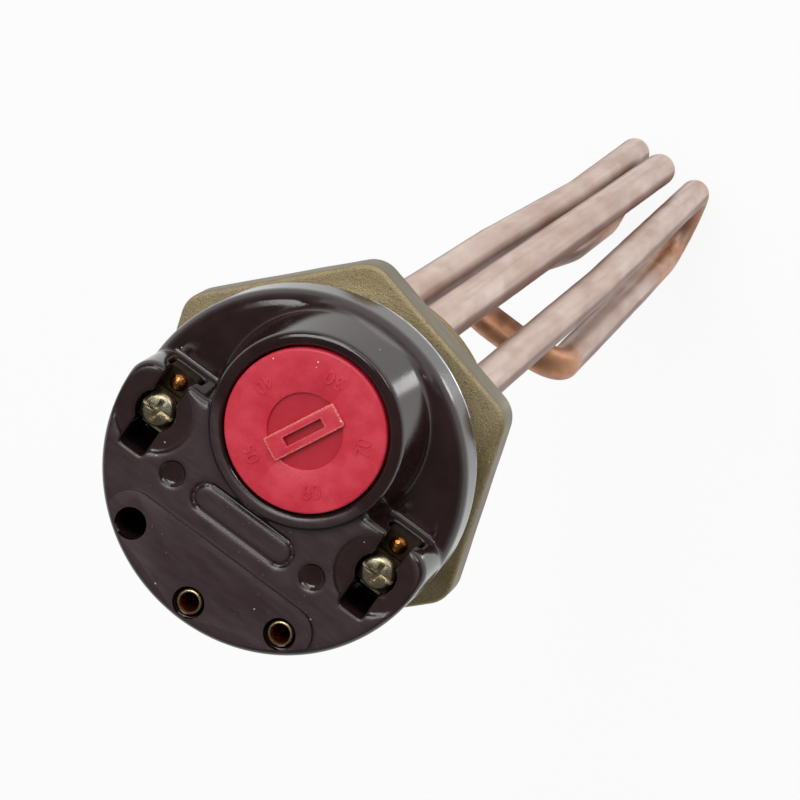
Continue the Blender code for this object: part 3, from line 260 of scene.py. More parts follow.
class Value:
    """A node's output. An expression on values adds the Math nodes that it needs."""

    def __init__(self, nodes, socket):
        self.nodes = nodes
        self.socket = socket

    def math(self, operation, first, second=None):
        return self.nodes.node("ShaderNodeMath", {"operation": operation}, {0: first, 1: second})

    def __add__(self, other):
        return self.math("ADD", self, other)

    __radd__ = __add__

    def __sub__(self, other):
        return self.math("SUBTRACT", self, other)

    def __rsub__(self, other):
        return self.math("SUBTRACT", other, self)

    def __mul__(self, other):
        return self.math("MULTIPLY", self, other)

    __rmul__ = __mul__

    def __gt__(self, other):
        return self.math("GREATER_THAN", self, other)

    def __lt__(self, other):
        return self.math("LESS_THAN", self, other)

    def __abs__(self):
        return self.math("ABSOLUTE", self)

    def above(self, other):
        """The larger of the two."""
        return self.math("MAXIMUM", self, other)


class Nodes:
    """One node tree, to which nodes are added with their settings and sockets."""

    def __init__(self, tree):
        self.tree = tree

    def node(self, kind, settings=None, sockets=None, output=0):
        made = self.tree.nodes.new(kind)
        for key, value in (settings or {}).items():
            if key == "stops":
                ramp = made.color_ramp
                while len(ramp.elements) < len(value):
                    ramp.elements.new(0.5)
                for stop, (position, colour) in zip(ramp.elements, value):
                    stop.position = position
                    stop.color = (*colour, 1.0)
            else:
                setattr(made, key, value)
        for key, value in (sockets or {}).items():
            if value is None:
                continue
            if isinstance(value, Value):
                self.tree.links.new(value.socket, made.inputs[key])
            else:
                made.inputs[key].default_value = value
        return Value(self, made.outputs[output])

    def end_in(self, value, node, socket):
        """Links a value to a node that the tree already has."""
        self.tree.links.new(value.socket, self.tree.nodes[node].inputs[socket])

    def step(self, value, low, high, first=0.0, second=1.0):
        """Smooth change from first to second while the value goes from low to high."""
        ends = {"From Min": low, "From Max": high, "To Min": first, "To Max": second}
        return self.node("ShaderNodeMapRange", {"interpolation_type": "SMOOTHSTEP"}, {"Value": value, **ends})

    def axis(self, at, name):
        return self.node("ShaderNodeSeparateXYZ", sockets={0: at}, output=name)

    def ray(self, kind):
        """One for light paths of this kind, such as Is Camera Ray."""
        return self.node("ShaderNodeLightPath", output=kind)


class Finish(Nodes):
    """One procedural material. Numbers that are the same all over are set on the shader's own sockets."""

    def __init__(self, name, constants):
        self.material = bpy.data.materials.new(name)
        self.material.use_nodes = True
        super().__init__(self.material.node_tree)
        self.shader = self.tree.nodes["Principled BSDF"]
        for socket, value in constants.items():
            self.shader.inputs[socket].default_value = value

    def feed(self, socket, value):
        self.tree.links.new(value.socket, self.shader.inputs[socket])

    def place(self, stretch=(1.0, 1.0, 1.0)):
        """Position on the part in millimetres, squeezed by the given factors."""
        at = self.node("ShaderNodeTexCoord", output="Object")
        factors = tuple(1000.0 * s for s in stretch)
        return self.node("ShaderNodeVectorMath", {"operation": "MULTIPLY"}, {0: at, 1: factors})

    def facing(self, direction):
        """How far the surface faces a direction of the part, from -1 to 1."""
        normal = self.node("ShaderNodeTexCoord", output="Normal")
        return self.node("ShaderNodeVectorMath", {"operation": "DOT_PRODUCT"}, {0: normal, 1: direction},
                         "Value")

    def noise(self, at, scale, detail=3.0, roughness=0.5):
        return self.node("ShaderNodeTexNoise",
                         sockets={"Vector": at, "Scale": scale, "Detail": detail, "Roughness": roughness})

    def cells(self, at, scale, output="Distance"):
        """Distance to the middle of the nearest cell, or a colour that is each cell's own."""
        return self.node("ShaderNodeTexVoronoi", sockets={"Vector": at, "Scale": scale}, output=output)

    def mix(self, factor, first, second):
        """First colour where the factor is 0, second colour where it is 1."""
        colours = [(*c, 1.0) if isinstance(c, tuple) else c for c in (first, second)]
        return self.node("ShaderNodeMix", {"data_type": "RGBA"}, {0: factor, 6: colours[0], 7: colours[1]}, 2)

    def ramp(self, value, stops):
        return self.node("ShaderNodeValToRGB", {"stops": stops}, {"Fac": value})

    def bump(self, height, distance):
        """Height is from 0 to 1 and distance is in metres."""
        return self.node("ShaderNodeBump", sockets={"Height": height, "Distance": distance, "Strength": 1.0})


def cast_brass():
    """Cast face, olive and speckled and browner towards the pad, with duller sides and a dull boss below."""
    f = Finish("plug_brass", {})
    at = f.place()
    z = f.axis(at, "Z")
    grain = f.noise(at, 1.9, 4.0, 0.7)
    fine = f.noise(at, 4.6, 2.0, 0.6)
    cloud = f.noise(at, 0.1, 3.0, 0.55)
    cast = f.step(z, -0.4, 0.4)
    face = f.step(z, 7.2, 7.7) * f.step(z, 9.0, 8.4)
    tone = f.ramp(cloud, [(0.35, (0.30, 0.23, 0.115)), (0.52, (0.38, 0.30, 0.165)),
                          (0.68, (0.35, 0.285, 0.18))])
    low = f.step(f.axis(at, "Y"), -8.0, -26.0, 0.0, 0.75)
    browned = f.mix(low * f.step(cloud, 0.3, 0.6, 1.0, 0.7), tone, (0.30, 0.165, 0.10))
    side = f.mix(face, (0.19, 0.16, 0.11), browned)
    pitted = f.mix(f.step(grain, 0.5, 0.72) * (0.25 + 0.6 * face), side, (0.12, 0.08, 0.038))
    sparkle = f.mix(f.step(fine, 0.56, 0.68) * f.step(grain, 0.44, 0.58) * face, pitted, (0.74, 0.61, 0.33))
    f.feed("Base Color", f.mix(cast, (0.27, 0.215, 0.125), sparkle))
    f.feed("Metallic", 1 - 0.35 * cast)
    f.feed("Roughness", f.step(cloud, 0.3, 0.7, 0.42, 0.54) + (grain - 0.5) * 0.4 * face)
    relief = (grain * 0.65 + fine * 0.35) * face + (1 - face) * (0.42 + 0.16 * grain)
    f.feed("Normal", f.bump(relief, 0.00026))
    return f.material


def zinc():
    """Bright plating, with bluish and greyer patches."""
    f = Finish("zinc_plate", {"Metallic": 1.0})
    at = f.place((1.0, 1.0, 0.5))
    cloud = f.noise(at, 0.35, 3.0)
    f.feed("Base Color", f.ramp(cloud, [(0.3, (0.36, 0.42, 0.5)), (0.55, (0.62, 0.68, 0.76)),
                                        (0.75, (0.5, 0.53, 0.6))]))
    f.feed("Roughness", f.step(cloud, 0.3, 0.7, 0.16, 0.34))
    return f.material


def bakelite():
    """Dark moulded bakelite: polished sides, a duller front with dust specks and light scratches, and painted
    shade in the wells, on the block's outer wall and on the front's walls and edges.
    """
    f = Finish("dark_bakelite", {"IOR": 1.58})
    at = f.place()
    z = f.axis(at, "Z")
    y = f.axis(at, "Y")
    cloud = f.noise(at, 0.09, 4.0, 0.55)
    smear = f.noise(f.place((0.35, 1.6, 1.0)), 0.4, 3.0, 0.6)
    grain = f.noise(at, 2.6, 3.0, 0.6)
    level = f.step(f.facing((0.0, 0.0, 1.0)), 0.8, 0.95)
    top = f.step(z, 38.0, 38.6) * f.step(y, 9.0, 4.0)
    front = top * level
    # Painted shade: near black from 28.6 to 34 mm up where y is below 4.4 mm, in the wells and on the block's
    # outer wall.
    deep = f.step(z, 36.5, 34.0) * f.step(y, 4.8, 4.4) * f.step(z, 27.0, 28.6)
    body = f.mix(f.step(cloud, 0.35, 0.65), (0.0155, 0.0062, 0.0062), (0.025, 0.0105, 0.0105))
    dulled = f.mix(front * f.step(smear, 0.25, 0.8, 0.6, 1.0), body, (0.047, 0.027, 0.031))
    near = f.cells(at, 0.42)
    chance = f.axis(f.cells(at, 0.42, "Color"), "X")
    speck = (near < 0.075) * (chance > 0.95 - 0.2 * front)
    tiny = f.cells(at, 1.15)
    tiny_chance = f.axis(f.cells(at, 1.15, "Color"), "Y")
    dust = (tiny < 0.1) * (tiny_chance > 0.86) * front
    marked = f.mix(f.step(speck * 0.8 + dust * 0.5, 0.0, 1.0), dulled, (0.42, 0.38, 0.4))
    # Painted shade: that band, and at three quarters strength the front's walls and edges that don't face up,
    # turn near black.
    painted_shade = deep.above(top * (1 - level) * 0.75)
    f.feed("Base Color", f.mix(painted_shade, marked, (0.006, 0.003, 0.003)))
    rough = f.step(cloud, 0.3, 0.7, 0.08, 0.15) + front * f.step(smear, 0.2, 0.8, 0.17, 0.28)
    f.feed("Roughness", rough + speck * 0.3)
    f.feed("Normal", f.bump(grain * 0.5 + smear * 0.5, 0.00003))
    return f.material


def red_moulding():
    """Satin red, deeper in the dial's middle, with painted shade in the grip's slot, and pale where the
    grip's edges are worn.
    """
    f = Finish("red_knob", {"IOR": 1.5})
    at = f.place()
    x = f.axis(at, "X")
    y = f.axis(at, "Y") - KNOB_Y / MM
    z = f.axis(at, "Z")
    along = abs(x * math.cos(GRIP_TURN) + y * math.sin(GRIP_TURN))
    across = abs(y * math.cos(GRIP_TURN) - x * math.sin(GRIP_TURN))
    cloud = f.noise(at, 0.22, 4.0, 0.6)
    grain = f.noise(at, 3.5, 2.0, 0.6)
    body = f.mix(f.step(cloud, 0.35, 0.7), (0.53, 0.018, 0.04), (0.60, 0.034, 0.06))
    dial = (along * along + across * across) < (GRIP_DISC / MM) ** 2
    raised = f.step(z, 40.7, 41.0)
    sunk = f.mix(dial * (1 - raised), body, (0.44, 0.010, 0.028))
    # Painted shade: the grip's slot is darker red.
    slot = (along < 4.5) * (across < 1.1) * f.step(z, 41.1, 40.9) * f.step(z, 39.5, 40.0)
    deep = f.mix(slot * 0.5, sunk, (0.36, 0.008, 0.02))
    edge = f.step(across, 1.95, 2.35).above(f.step(along, 7.4, 7.8))
    edge = edge.above(f.step(across, 1.3, 1.05) * f.step(along, 4.8, 4.5) * 0.4)
    worn = f.mix(edge * f.step(z, 40.9, 41.3) * f.step(grain, 0.36, 0.58), deep, (0.72, 0.20, 0.17))
    near = f.cells(at, 0.4)
    chance = f.axis(f.cells(at, 0.4, "Color"), "X")
    speck = (near < 0.085) * (chance > 0.8)
    f.feed("Base Color", f.mix(speck * 0.75, worn, (0.85, 0.5, 0.5)))
    f.feed("Roughness", f.step(cloud, 0.3, 0.7, 0.38, 0.5))
    f.feed("Normal", f.bump(grain, 0.00004))
    return f.material


def drawn_copper():
    """Pinkish film with brown stains, painted shade that darkens the tubes' edges and lower side, and cleaner
    orange metal at the near bend and a far fold.
    """
    f = Finish("dull_copper", {"Specular IOR Level": 0.15})
    at = f.place()
    x = f.axis(at, "X")
    y = f.axis(at, "Y")
    z = f.axis(at, "Z")
    streak = f.noise(f.place((1.0, 1.0, 0.02)), 0.7, 2.0, 0.5)
    cloud = f.noise(f.place((1.0, 1.0, 0.25)), 0.1, 3.0, 0.55)
    blot = f.noise(f.place((1.0, 1.0, 0.3)), 0.16, 2.0, 0.5)
    film = f.ramp(cloud, [(0.34, (0.54, 0.385, 0.32)), (0.5, (0.64, 0.485, 0.415)),
                          (0.66, (0.71, 0.57, 0.50))])
    lined = f.mix(f.step(streak, 0.5, 0.7, 0.0, 0.22), film, (0.40, 0.25, 0.20))
    stained = f.mix(f.step(blot, 0.4, 0.75, 0.0, 0.6), lined, (0.43, 0.265, 0.20))
    # Painted shade: the tubes' two edges, seen from the camera, and their lower right side turn dark brown
    # and less metallic.
    limb_shade = f.step(f.facing((0.30, 0.95, 0.0)), 0.6, 0.25, 0.0, 0.85)
    low_side_shade = f.step(f.facing((0.95, -0.30, 0.0)), 0.5, 0.75, 0.0, 0.9)
    painted_edge_shade = limb_shade.above(low_side_shade) * f.step(blot, 0.3, 0.6, 0.8, 1.0)
    edge_shaded = f.mix(painted_edge_shade, stained, (0.20, 0.08, 0.05))
    near_bend = f.step(y, -3.0, -9.0) * f.step(z, -206.0, -197.0)
    far_fold = f.step(y, -3.0, -9.0) * f.step(z, -296.0, -325.0)
    far_tip = f.step(x, 3.0, 6.0) * f.step(z, -335.0, -358.0) * 0.6
    clean = near_bend.above(far_fold).above(far_tip) * f.step(cloud, 0.3, 0.5, 0.75, 0.95)
    orange = f.ramp(blot, [(0.35, (0.42, 0.19, 0.10)), (0.55, (0.55, 0.28, 0.155)),
                           (0.7, (0.36, 0.155, 0.085))])
    f.feed("Base Color", f.mix(clean, edge_shaded, orange))
    f.feed("Metallic", (0.4 + 0.35 * clean) * (1 - 0.85 * painted_edge_shade * (1 - clean)))
    f.feed("Roughness", f.step(streak, 0.3, 0.7, 0.36, 0.46))
    f.feed("Normal", f.bump(blot * 0.5 + streak * 0.5, 0.00006))
    return f.material


def turned_brass(name, colour, dark, rough):
    """Finely turned metal: a colour with darker clouds."""
    f = Finish(name, {"Metallic": 1.0})
    at = f.place()
    cloud = f.noise(at, 0.5, 4.0, 0.6)
    fine = f.noise(at, 3.0, 2.0, 0.6)
    f.feed("Base Color", f.mix(f.step(cloud, 0.38, 0.68) * 0.8, colour, dark))
    f.feed("Roughness", f.step(fine, 0.3, 0.7, rough - 0.07, rough + 0.09))
    f.feed("Normal", f.bump(fine, 0.00002))
    return f.material


def socket_brass():
    """Bright brass rims, with an orange-red tarnish down the bores."""
    f = Finish("socket_brass", {"Metallic": 1.0})
    at = f.place()
    cloud = f.noise(at, 0.8, 3.0, 0.6)
    rim = f.mix(f.step(cloud, 0.38, 0.68), (0.62, 0.50, 0.27), (0.46, 0.35, 0.18))
    bore = f.mix(f.step(cloud, 0.4, 0.62), (0.72, 0.24, 0.07), (0.34, 0.10, 0.04))
    f.feed("Base Color", f.mix(f.step(f.axis(at, "Z"), 39.1, 38.7), rim, bore))
    f.feed("Roughness", f.step(cloud, 0.3, 0.7, 0.24, 0.4))
    f.feed("Normal", f.bump(cloud, 0.00004))
    return f.material


def speckled(name, colour, dark, rough, metallic, bump=0.00003):
    """Plain finish of the hidden pieces: a colour with darker clouds."""
    f = Finish(name, {"Metallic": metallic})
    at = f.place()
    cloud = f.noise(at, 0.6, 4.0, 0.6)
    f.feed("Base Color", f.mix(f.step(cloud, 0.4, 0.7), colour, dark))
    f.feed("Roughness", f.step(cloud, 0.3, 0.7, rough - 0.06, rough + 0.08))
    f.feed("Normal", f.bump(f.noise(at, 4.0, 2.0), bump))
    return f.material


finishes = {
    "plug_brass": cast_brass(),
    "zinc_plate": zinc(),
    "dark_bakelite": bakelite(),
    "red_knob": red_moulding(),
    "dull_copper": drawn_copper(),
    "terminal_brass": turned_brass("terminal_brass", (0.50, 0.45, 0.31), (0.30, 0.23, 0.13), 0.32),
    # Near-black brass whose darkness paints the shade of the wells on the terminal blocks and clamp washers.
    "black_brass": turned_brass("black_brass", (0.075, 0.05, 0.03), (0.03, 0.02, 0.014), 0.45),
    "rivet_brass": turned_brass("rivet_brass", (0.50, 0.20, 0.06), (0.26, 0.085, 0.03), 0.24),
    "socket_brass": socket_brass(),
    "white_ceramic": speckled("white_ceramic", (0.78, 0.74, 0.66), (0.66, 0.6, 0.5), 0.6, 0.0),
    "plated_steel": speckled("plated_steel", (0.55, 0.55, 0.54), (0.4, 0.39, 0.37), 0.34, 1.0),
    "spring_bronze": speckled("spring_bronze", (0.62, 0.38, 0.2), (0.42, 0.24, 0.12), 0.3, 1.0),
    "braze_metal": speckled("braze_metal", (0.68, 0.62, 0.45), (0.42, 0.36, 0.24), 0.42, 1.0, 0.0001),
}
# CAD pieces whose finish isn't the one that their slot names; the blocks and washers get the near-black
# brass, which is painted shade of the wells
other_finishes = {"terminal_block": "black_brass", "clamp_washer": "black_brass",
                  "terminal_rivet": "rivet_brass"}
for row in frame["record"]["subparts"]:
    node = frame["nodes"][row["node"]]
    kind = row["node"].removesuffix("_left").removesuffix("_right")
    node.data.materials.clear()
    node.data.materials.append(finishes[other_finishes.get(kind, row["material_slot"])])
    node.data.shade_smooth()


# brass plug with its thread

def hex_reach(turn, inset):
    """Distance of the rounded hexagon's outline from the axis, in one direction."""
    corner = HEX_CORNER_RADIUS
    inner = HEX_FLATS / 2 - corner
    local = (turn - HEX_TURN + math.pi / 6) % (math.pi / 3) - math.pi / 6
    corner_reach = inner / math.cos(math.pi / 6)
    flat = (HEX_FLATS / 2 - inset) / math.cos(local)
    side = flat * math.sin(abs(local))
    limit = inner * math.tan(math.pi / 6)
    if side <= limit:
        return flat
    away = math.pi / 6 - abs(local)
    round_part = (corner - inset) ** 2 - (corner_reach * math.sin(away)) ** 2
    return corner_reach * math.cos(away) + math.sqrt(max(round_part, 0.0))


def thread_radius(turn, z):
    """Rounded pipe thread: the ridge climbs by one pitch in each turn."""
    phase = ((z - THREAD_START) / THREAD_PITCH - turn / (2 * math.pi)) % 1.0
    wave = 0.5 - 0.5 * math.cos(2 * math.pi * phase)
    lead = 1.4 * MM
    fade = 0.8 * MM
    run_in = min(1.0, max(0.0, (z - THREAD_LOW) / lead))
    run_out = min(1.0, max(0.0, (-THREAD_UNDERCUT - z) / fade))
    return THREAD_ROOT + (THREAD_CREST - THREAD_ROOT) * wave * run_in * run_out


def make_plug():
    """Tube plate, cup, hexagon and threaded boss as one body."""
    sides = 288
    turns = [2 * math.pi * step / sides for step in range(sides)]

    def round_ring(radius, z):
        return [(radius * math.cos(t), radius * math.sin(t), z) for t in turns]

    def hex_ring(inset, z):
        ring = []
        for t in turns:
            wobble = 0.5 + 0.5 * noise.noise(Vector((5 * math.cos(t), 5 * math.sin(t), z / MM * 0.4)))
            reach = hex_reach(t, inset) - wobble * dent
            ring.append((reach * math.cos(t), reach * math.sin(t), z))
        return ring

    edge = 0.9 * MM
    dent = 0.16 * MM
    ring_gap = 0.19 * MM
    rings = [round_ring(2 * MM, TUBE_PLATE_TOP), round_ring(CUP_RADIUS - MM, TUBE_PLATE_TOP),
             round_ring(CUP_RADIUS, TUBE_PLATE_TOP + MM), round_ring(CUP_RADIUS, SPIGOT_TOP - 0.3 * MM),
             round_ring(CUP_RADIUS + 0.3 * MM, SPIGOT_TOP), round_ring(SPIGOT_RADIUS - 0.3 * MM, SPIGOT_TOP),
             round_ring(SPIGOT_RADIUS, SPIGOT_TOP - 0.3 * MM),
             round_ring(SPIGOT_RADIUS, HEX_THICKNESS + 0.8 * MM),
             round_ring(SPIGOT_RADIUS + 0.25 * MM, HEX_THICKNESS + 0.25 * MM),
             round_ring(SPIGOT_RADIUS + 0.8 * MM, HEX_THICKNESS)]
    for inset in (2.2, 1.7, 1.2):
        rings.append(hex_ring(inset * MM, HEX_THICKNESS))
    for r, z in arc(edge, HEX_THICKNESS - edge, edge, 90, 180, 6):
        rings.append(hex_ring(r, z))
    for z in (5.5, 4.5, 3.5, 2.5, 1.6):
        rings.append(hex_ring(0.0, z * MM))
    for r, z in arc(edge, edge, edge, 180, 270, 4):
        rings.append(hex_ring(r, z))
    rings += [round_ring(THREAD_ROOT + 2 * MM, 0.0), round_ring(THREAD_ROOT - 0.5 * MM, 0.0),
              round_ring(THREAD_ROOT - 0.9 * MM, -0.4 * MM), round_ring(THREAD_ROOT - 0.9 * MM, -3.1 * MM)]
    z = -3.3 * MM
    while z > THREAD_LOW + 0.9 * MM:
        base = min(0.0, (-z - THREAD_UNDERCUT) / (0.7 * MM)) * 0.9 * MM
        ring = []
        for t in turns:
            radius = thread_radius(t, z) + base
            ring.append((radius * math.cos(t), radius * math.sin(t), z))
        rings.append(ring)
        z -= ring_gap
    rings += [round_ring(THREAD_ROOT - 0.1 * MM, THREAD_LOW + 0.5 * MM),
              round_ring(THREAD_ROOT - 0.8 * MM, THREAD_LOW),
              round_ring(THREAD_ROOT - 1.5 * MM, THREAD_LOW), round_ring(2 * MM, THREAD_LOW)]
    plug = from_bmesh("screw_plug", skin(rings), 50)
    holes = [cylinder(ELEMENT_RADIUS + GAP, THREAD_LOW - MM, TUBE_PLATE_TOP + MM, (x, LEG_Y))
             for x in (-LEG_X, LEG_X)]
    holes.append(cylinder(POCKET_RADIUS + GAP, THREAD_LOW - MM, TUBE_PLATE_TOP + MM, POCKET_PLACE))
    combine(plug, holes)
    plug.data.set_sharp_from_angle(angle=math.radians(50))
    place_on(plug, HOUSING, finishes["plug_brass"], "plug_brass", "hex_plug")


def make_plate():
    """Pressed pan, with the holes of the two seals and of the rod."""
    bend = 2.0 * MM
    inner = bend - PLATE_METAL
    lip = 0.35 * MM
    profile = [(1 * MM, PLATE_LOW)] + arc(PLATE_RADIUS - bend, PLATE_LOW + bend, bend, -90, 0, 8)
    profile += arc(PLATE_RADIUS - lip, PLATE_RIM_TOP - lip, lip, 0, 90, 3)
    profile += arc(PLATE_RADIUS - PLATE_METAL + lip, PLATE_RIM_TOP - lip, lip, 90, 180, 3)
    profile += arc(PLATE_RADIUS - bend, PLATE_LOW + bend, inner, 0, -90, 6) + [(1 * MM, PLATE_FLOOR)]
    plate = from_bmesh("plate_pan", lathe(profile, 220), 40)
    holes = [cylinder(PLATE_SEAL_HOLE, PLATE_LOW - MM, PLATE_FLOOR + MM, (x, LEG_Y)) for x in (-LEG_X, LEG_X)]
    holes.append(cylinder(PLATE_ROD_HOLE, PLATE_LOW - MM, PLATE_FLOOR + MM, POCKET_PLACE))
    combine(plate, holes)
    place_on(plate, HOUSING, finishes["zinc_plate"], "zinc_plate", "base_plate")


# moulded head

def socket_places():
    places = []
    for step in (-1, 0, 1):
        angle = step * SOCKET_PITCH
        places.append((SOCKET_CIRCLE * math.sin(angle), -SOCKET_CIRCLE * math.cos(angle)))
    return places


def head_block():
    """Tall part: a disc cut off towards the knob, with round ears at its two ends."""
    radius = HEAD_RADIUS - 0.1 * MM
    top_y = 5.4 * MM
    ear = 4.8 * MM
    edge = 2.0 * MM
    ear_y = top_y - ear
    ear_x = math.sqrt((radius - ear) ** 2 - ear_y ** 2)
    lean = math.degrees(math.atan2(ear_y, ear_x))
    outline = arc(0, 0, radius, 180 - lean, 360 + lean, 150)
    outline += arc(ear_x, ear_y, ear, lean, 90, 8)[1:] + arc(-ear_x, ear_y, ear, 90, 180 - lean, 8)[:-1]
    return bevelled(from_bmesh("block_shape", prism(outline, HEAD_RIM + 0.4 * MM, FACE_Z)), edge, 6, 50)


def pad_outline():
    """Crescent: a straight upper edge with rounded corners, and the head's own curve below."""
    radius = HEAD_RADIUS - 1.9 * MM
    half_width = 24.0 * MM
    corner = 5.2 * MM
    edge_y = -17.5 * MM
    low_y = -math.sqrt(radius ** 2 - half_width ** 2)
    start = math.degrees(math.atan2(low_y, -half_width)) % 360
    end = math.degrees(math.atan2(low_y, half_width)) % 360
    return (arc(0, 0, radius, start, end, 60) + arc(half_width - corner, edge_y - corner, corner, 0, 90, 10)
            + arc(-half_width + corner, edge_y - corner, corner, 90, 180, 10))


def collar():
    """Raised ring round the knob. Its wall leans in a little and has a small fillet at its foot."""
    crest = 1.0 * MM
    lean = 1.8 * MM
    fillet = 1.5 * MM
    foot = COLLAR_RADIUS + lean + fillet
    profile = [(1 * MM, CAVITY_Z), (foot, CAVITY_Z), (foot, SHOULDER_Z - 0.1 * MM)]
    profile += arc(foot, SHOULDER_Z + fillet, fillet, 270, 190, 8)
    profile += arc(COLLAR_RADIUS - crest, COLLAR_Z - crest, crest, 8, 90, 6) + [(1 * MM, COLLAR_Z)]
    shape = from_bmesh("collar_shape", lathe(profile, 180, (0, KNOB_Y)))
    side = HEAD_RADIUS - 0.3 * MM
    limit = [(1 * MM, HEAD_LOW), (side, HEAD_LOW), (side, SHOULDER_Z - 2.6 * MM),
             (side - 0.4 * MM, SHOULDER_Z - MM), (side - 1.2 * MM, SHOULDER_Z),
             (side - 1.9 * MM, COLLAR_Z + MM), (1 * MM, COLLAR_Z + MM)]
    return combine(shape, [lathe(limit, 180)], "INTERSECT")


def well_cutters(side, above):
    """Rooms of the clamp and the block, the wire's slot, the screw's pocket, two holes and a dimple."""
    x = side * TERMINAL_X
    place = (x, TERMINAL_Y)
    clamp_half = 4.1 * MM
    clamp_top = 37.0 * MM
    block_half = 3.9 * MM
    block_top = 33.8 * MM
    slot_half = 2.75 * MM
    end = 5.4 * MM
    terrace = [(7.7 * MM, FACE_Z - 0.7 * MM), (8.6 * MM, FACE_Z + 0.1 * MM), (8.6 * MM, above)]
    clamp_room = rectangle(x - clamp_half, x + clamp_half, -7.6 * MM, 1.5 * MM, 0.3 * MM, 2)
    block_room = rectangle(x - block_half, x + block_half, 0.0, end + 3 * MM)
    return [prism(clamp_room, WELL_FLOOR, clamp_top),
            prism(block_room, WELL_FLOOR, block_top),
            prism(rectangle(x - slot_half, x + slot_half, TERMINAL_Y, end + 3 * MM), WELL_FLOOR + MM, above),
            prism(rectangle(x - slot_half, x + slot_half, -12.1 * MM, -6.3 * MM), CAVITY_Z - MM, above),
            prism(rectangle(x - slot_half, x + slot_half, -8.0 * MM, TERMINAL_Y), WELL_FLOOR + MM, above),
            cylinder(4.15 * MM, WELL_FLOOR + MM, above, place, 64),
            lathe(terrace, 96, place),
            cylinder(2.5 * MM, CAVITY_Z - MM, WELL_FLOOR + MM, place, 32),
            cylinder(1.4 * MM, CAVITY_Z - MM, WELL_FLOOR + MM, (x, RIVET_Y), 24),
            cylinder(2.6 * MM, FACE_Z - 0.9 * MM, above, (side * 16.9 * MM, -11.0 * MM), 40)]


def panel_cutter(above):
    """Groove round the long rounded panel between the two dimples."""
    length = 12.0 * MM
    half = 3.3 * MM
    band = 1.0 * MM
    y = -10.8 * MM
    low = FACE_Z - 0.75 * MM
    outside = rectangle(-length, length, y - half, y + half, half - 1e-5, 12)
    island = rectangle(band - length, length - band, y - half + band, y + half - band, half - band - 1e-5, 12)
    groove = from_bmesh("panel_shape", prism(outside, low, above))
    return combine(groove, [prism(island, low - MM, above + MM)])


def socket_cutter(place, above):
    """Bore of a socket, wider for its flange below and at its mouth."""
    flange = 3.9 * MM
    flange_top = CAVITY_Z + 1.3 * MM
    bore = 2.9 * MM
    mouth_low = PAD_Z - 1.6 * MM
    profile = [(flange, CAVITY_Z - MM), (flange, flange_top), (bore, flange_top), (bore, mouth_low),
               (SOCKET_MOUTH, mouth_low), (SOCKET_MOUTH, above)]
    return lathe(profile, 48, place)


def make_head():
    """Shoulder, block and collar joined, cut out, and then smoothed a little where they meet."""
    edge = 3.4 * MM
    profile = [(1 * MM, HEAD_LOW), (HEAD_SKIRT_RADIUS, HEAD_LOW), (HEAD_SKIRT_RADIUS, HEAD_RIM),
               (HEAD_RADIUS, HEAD_RIM)]
    profile += arc(HEAD_RADIUS - edge, SHOULDER_Z - edge, edge, 0, 90, 12) + [(1 * MM, SHOULDER_Z)]
    head = from_bmesh("moulded_head", lathe(profile, 220))
    combine(head, [collar(), head_block()], "UNION")
    above = COLLAR_Z + 3 * MM
    mouth = 0.7 * MM
    recess = [(COLLAR_HOLE_RADIUS, KNOB_SEAT), (COLLAR_HOLE_RADIUS, COLLAR_Z - mouth),
              (COLLAR_HOLE_RADIUS + mouth, COLLAR_Z), (COLLAR_HOLE_RADIUS + mouth, above)]
    centre = (0, KNOB_Y)
    cutters = [lathe(recess, 180, centre), cylinder(CAVITY_RADIUS, HEAD_LOW - MM, CAVITY_Z, sides=160),
               cylinder(SWITCH_ROOM_RADIUS, CAVITY_Z - MM, SWITCH_ROOM_Z, centre, 96),
               cylinder(SPINDLE_HOLE, SWITCH_ROOM_Z - MM, KNOB_SEAT + MM, centre)]
    for side in (-1, 1):
        cutters += well_cutters(side, above)
    empty, *sockets = socket_places()
    cutters.append(cylinder(SOCKET_MOUTH, CAVITY_Z - MM, above, empty))
    cutters += [socket_cutter(place, above) for place in sockets]
    cutters.append(panel_cutter(above))
    combine(head, cutters)
    add_modifier(head, "REMESH", mode="VOXEL", voxel_size=0.42 * MM, adaptivity=0.0)
    add_modifier(head, "SMOOTH", factor=0.5, iterations=5)
    settle(head, 180)
    place_on(head, HOUSING, finishes["dark_bakelite"], "dark_bakelite", "head_cover")


def make_pad():
    """Crescent pad on the front, with its three round holes."""
    pad = from_bmesh("crescent_pad", prism(pad_outline(), FACE_Z - 0.25 * MM, PAD_Z))
    combine(pad, [cylinder(SOCKET_MOUTH, FACE_Z - MM, PAD_Z + MM, place) for place in socket_places()])
    bevelled(pad, 0.22 * MM, 3, 50)
    place_on(pad, HOUSING, finishes["dark_bakelite"], "dark_bakelite")


# control knob

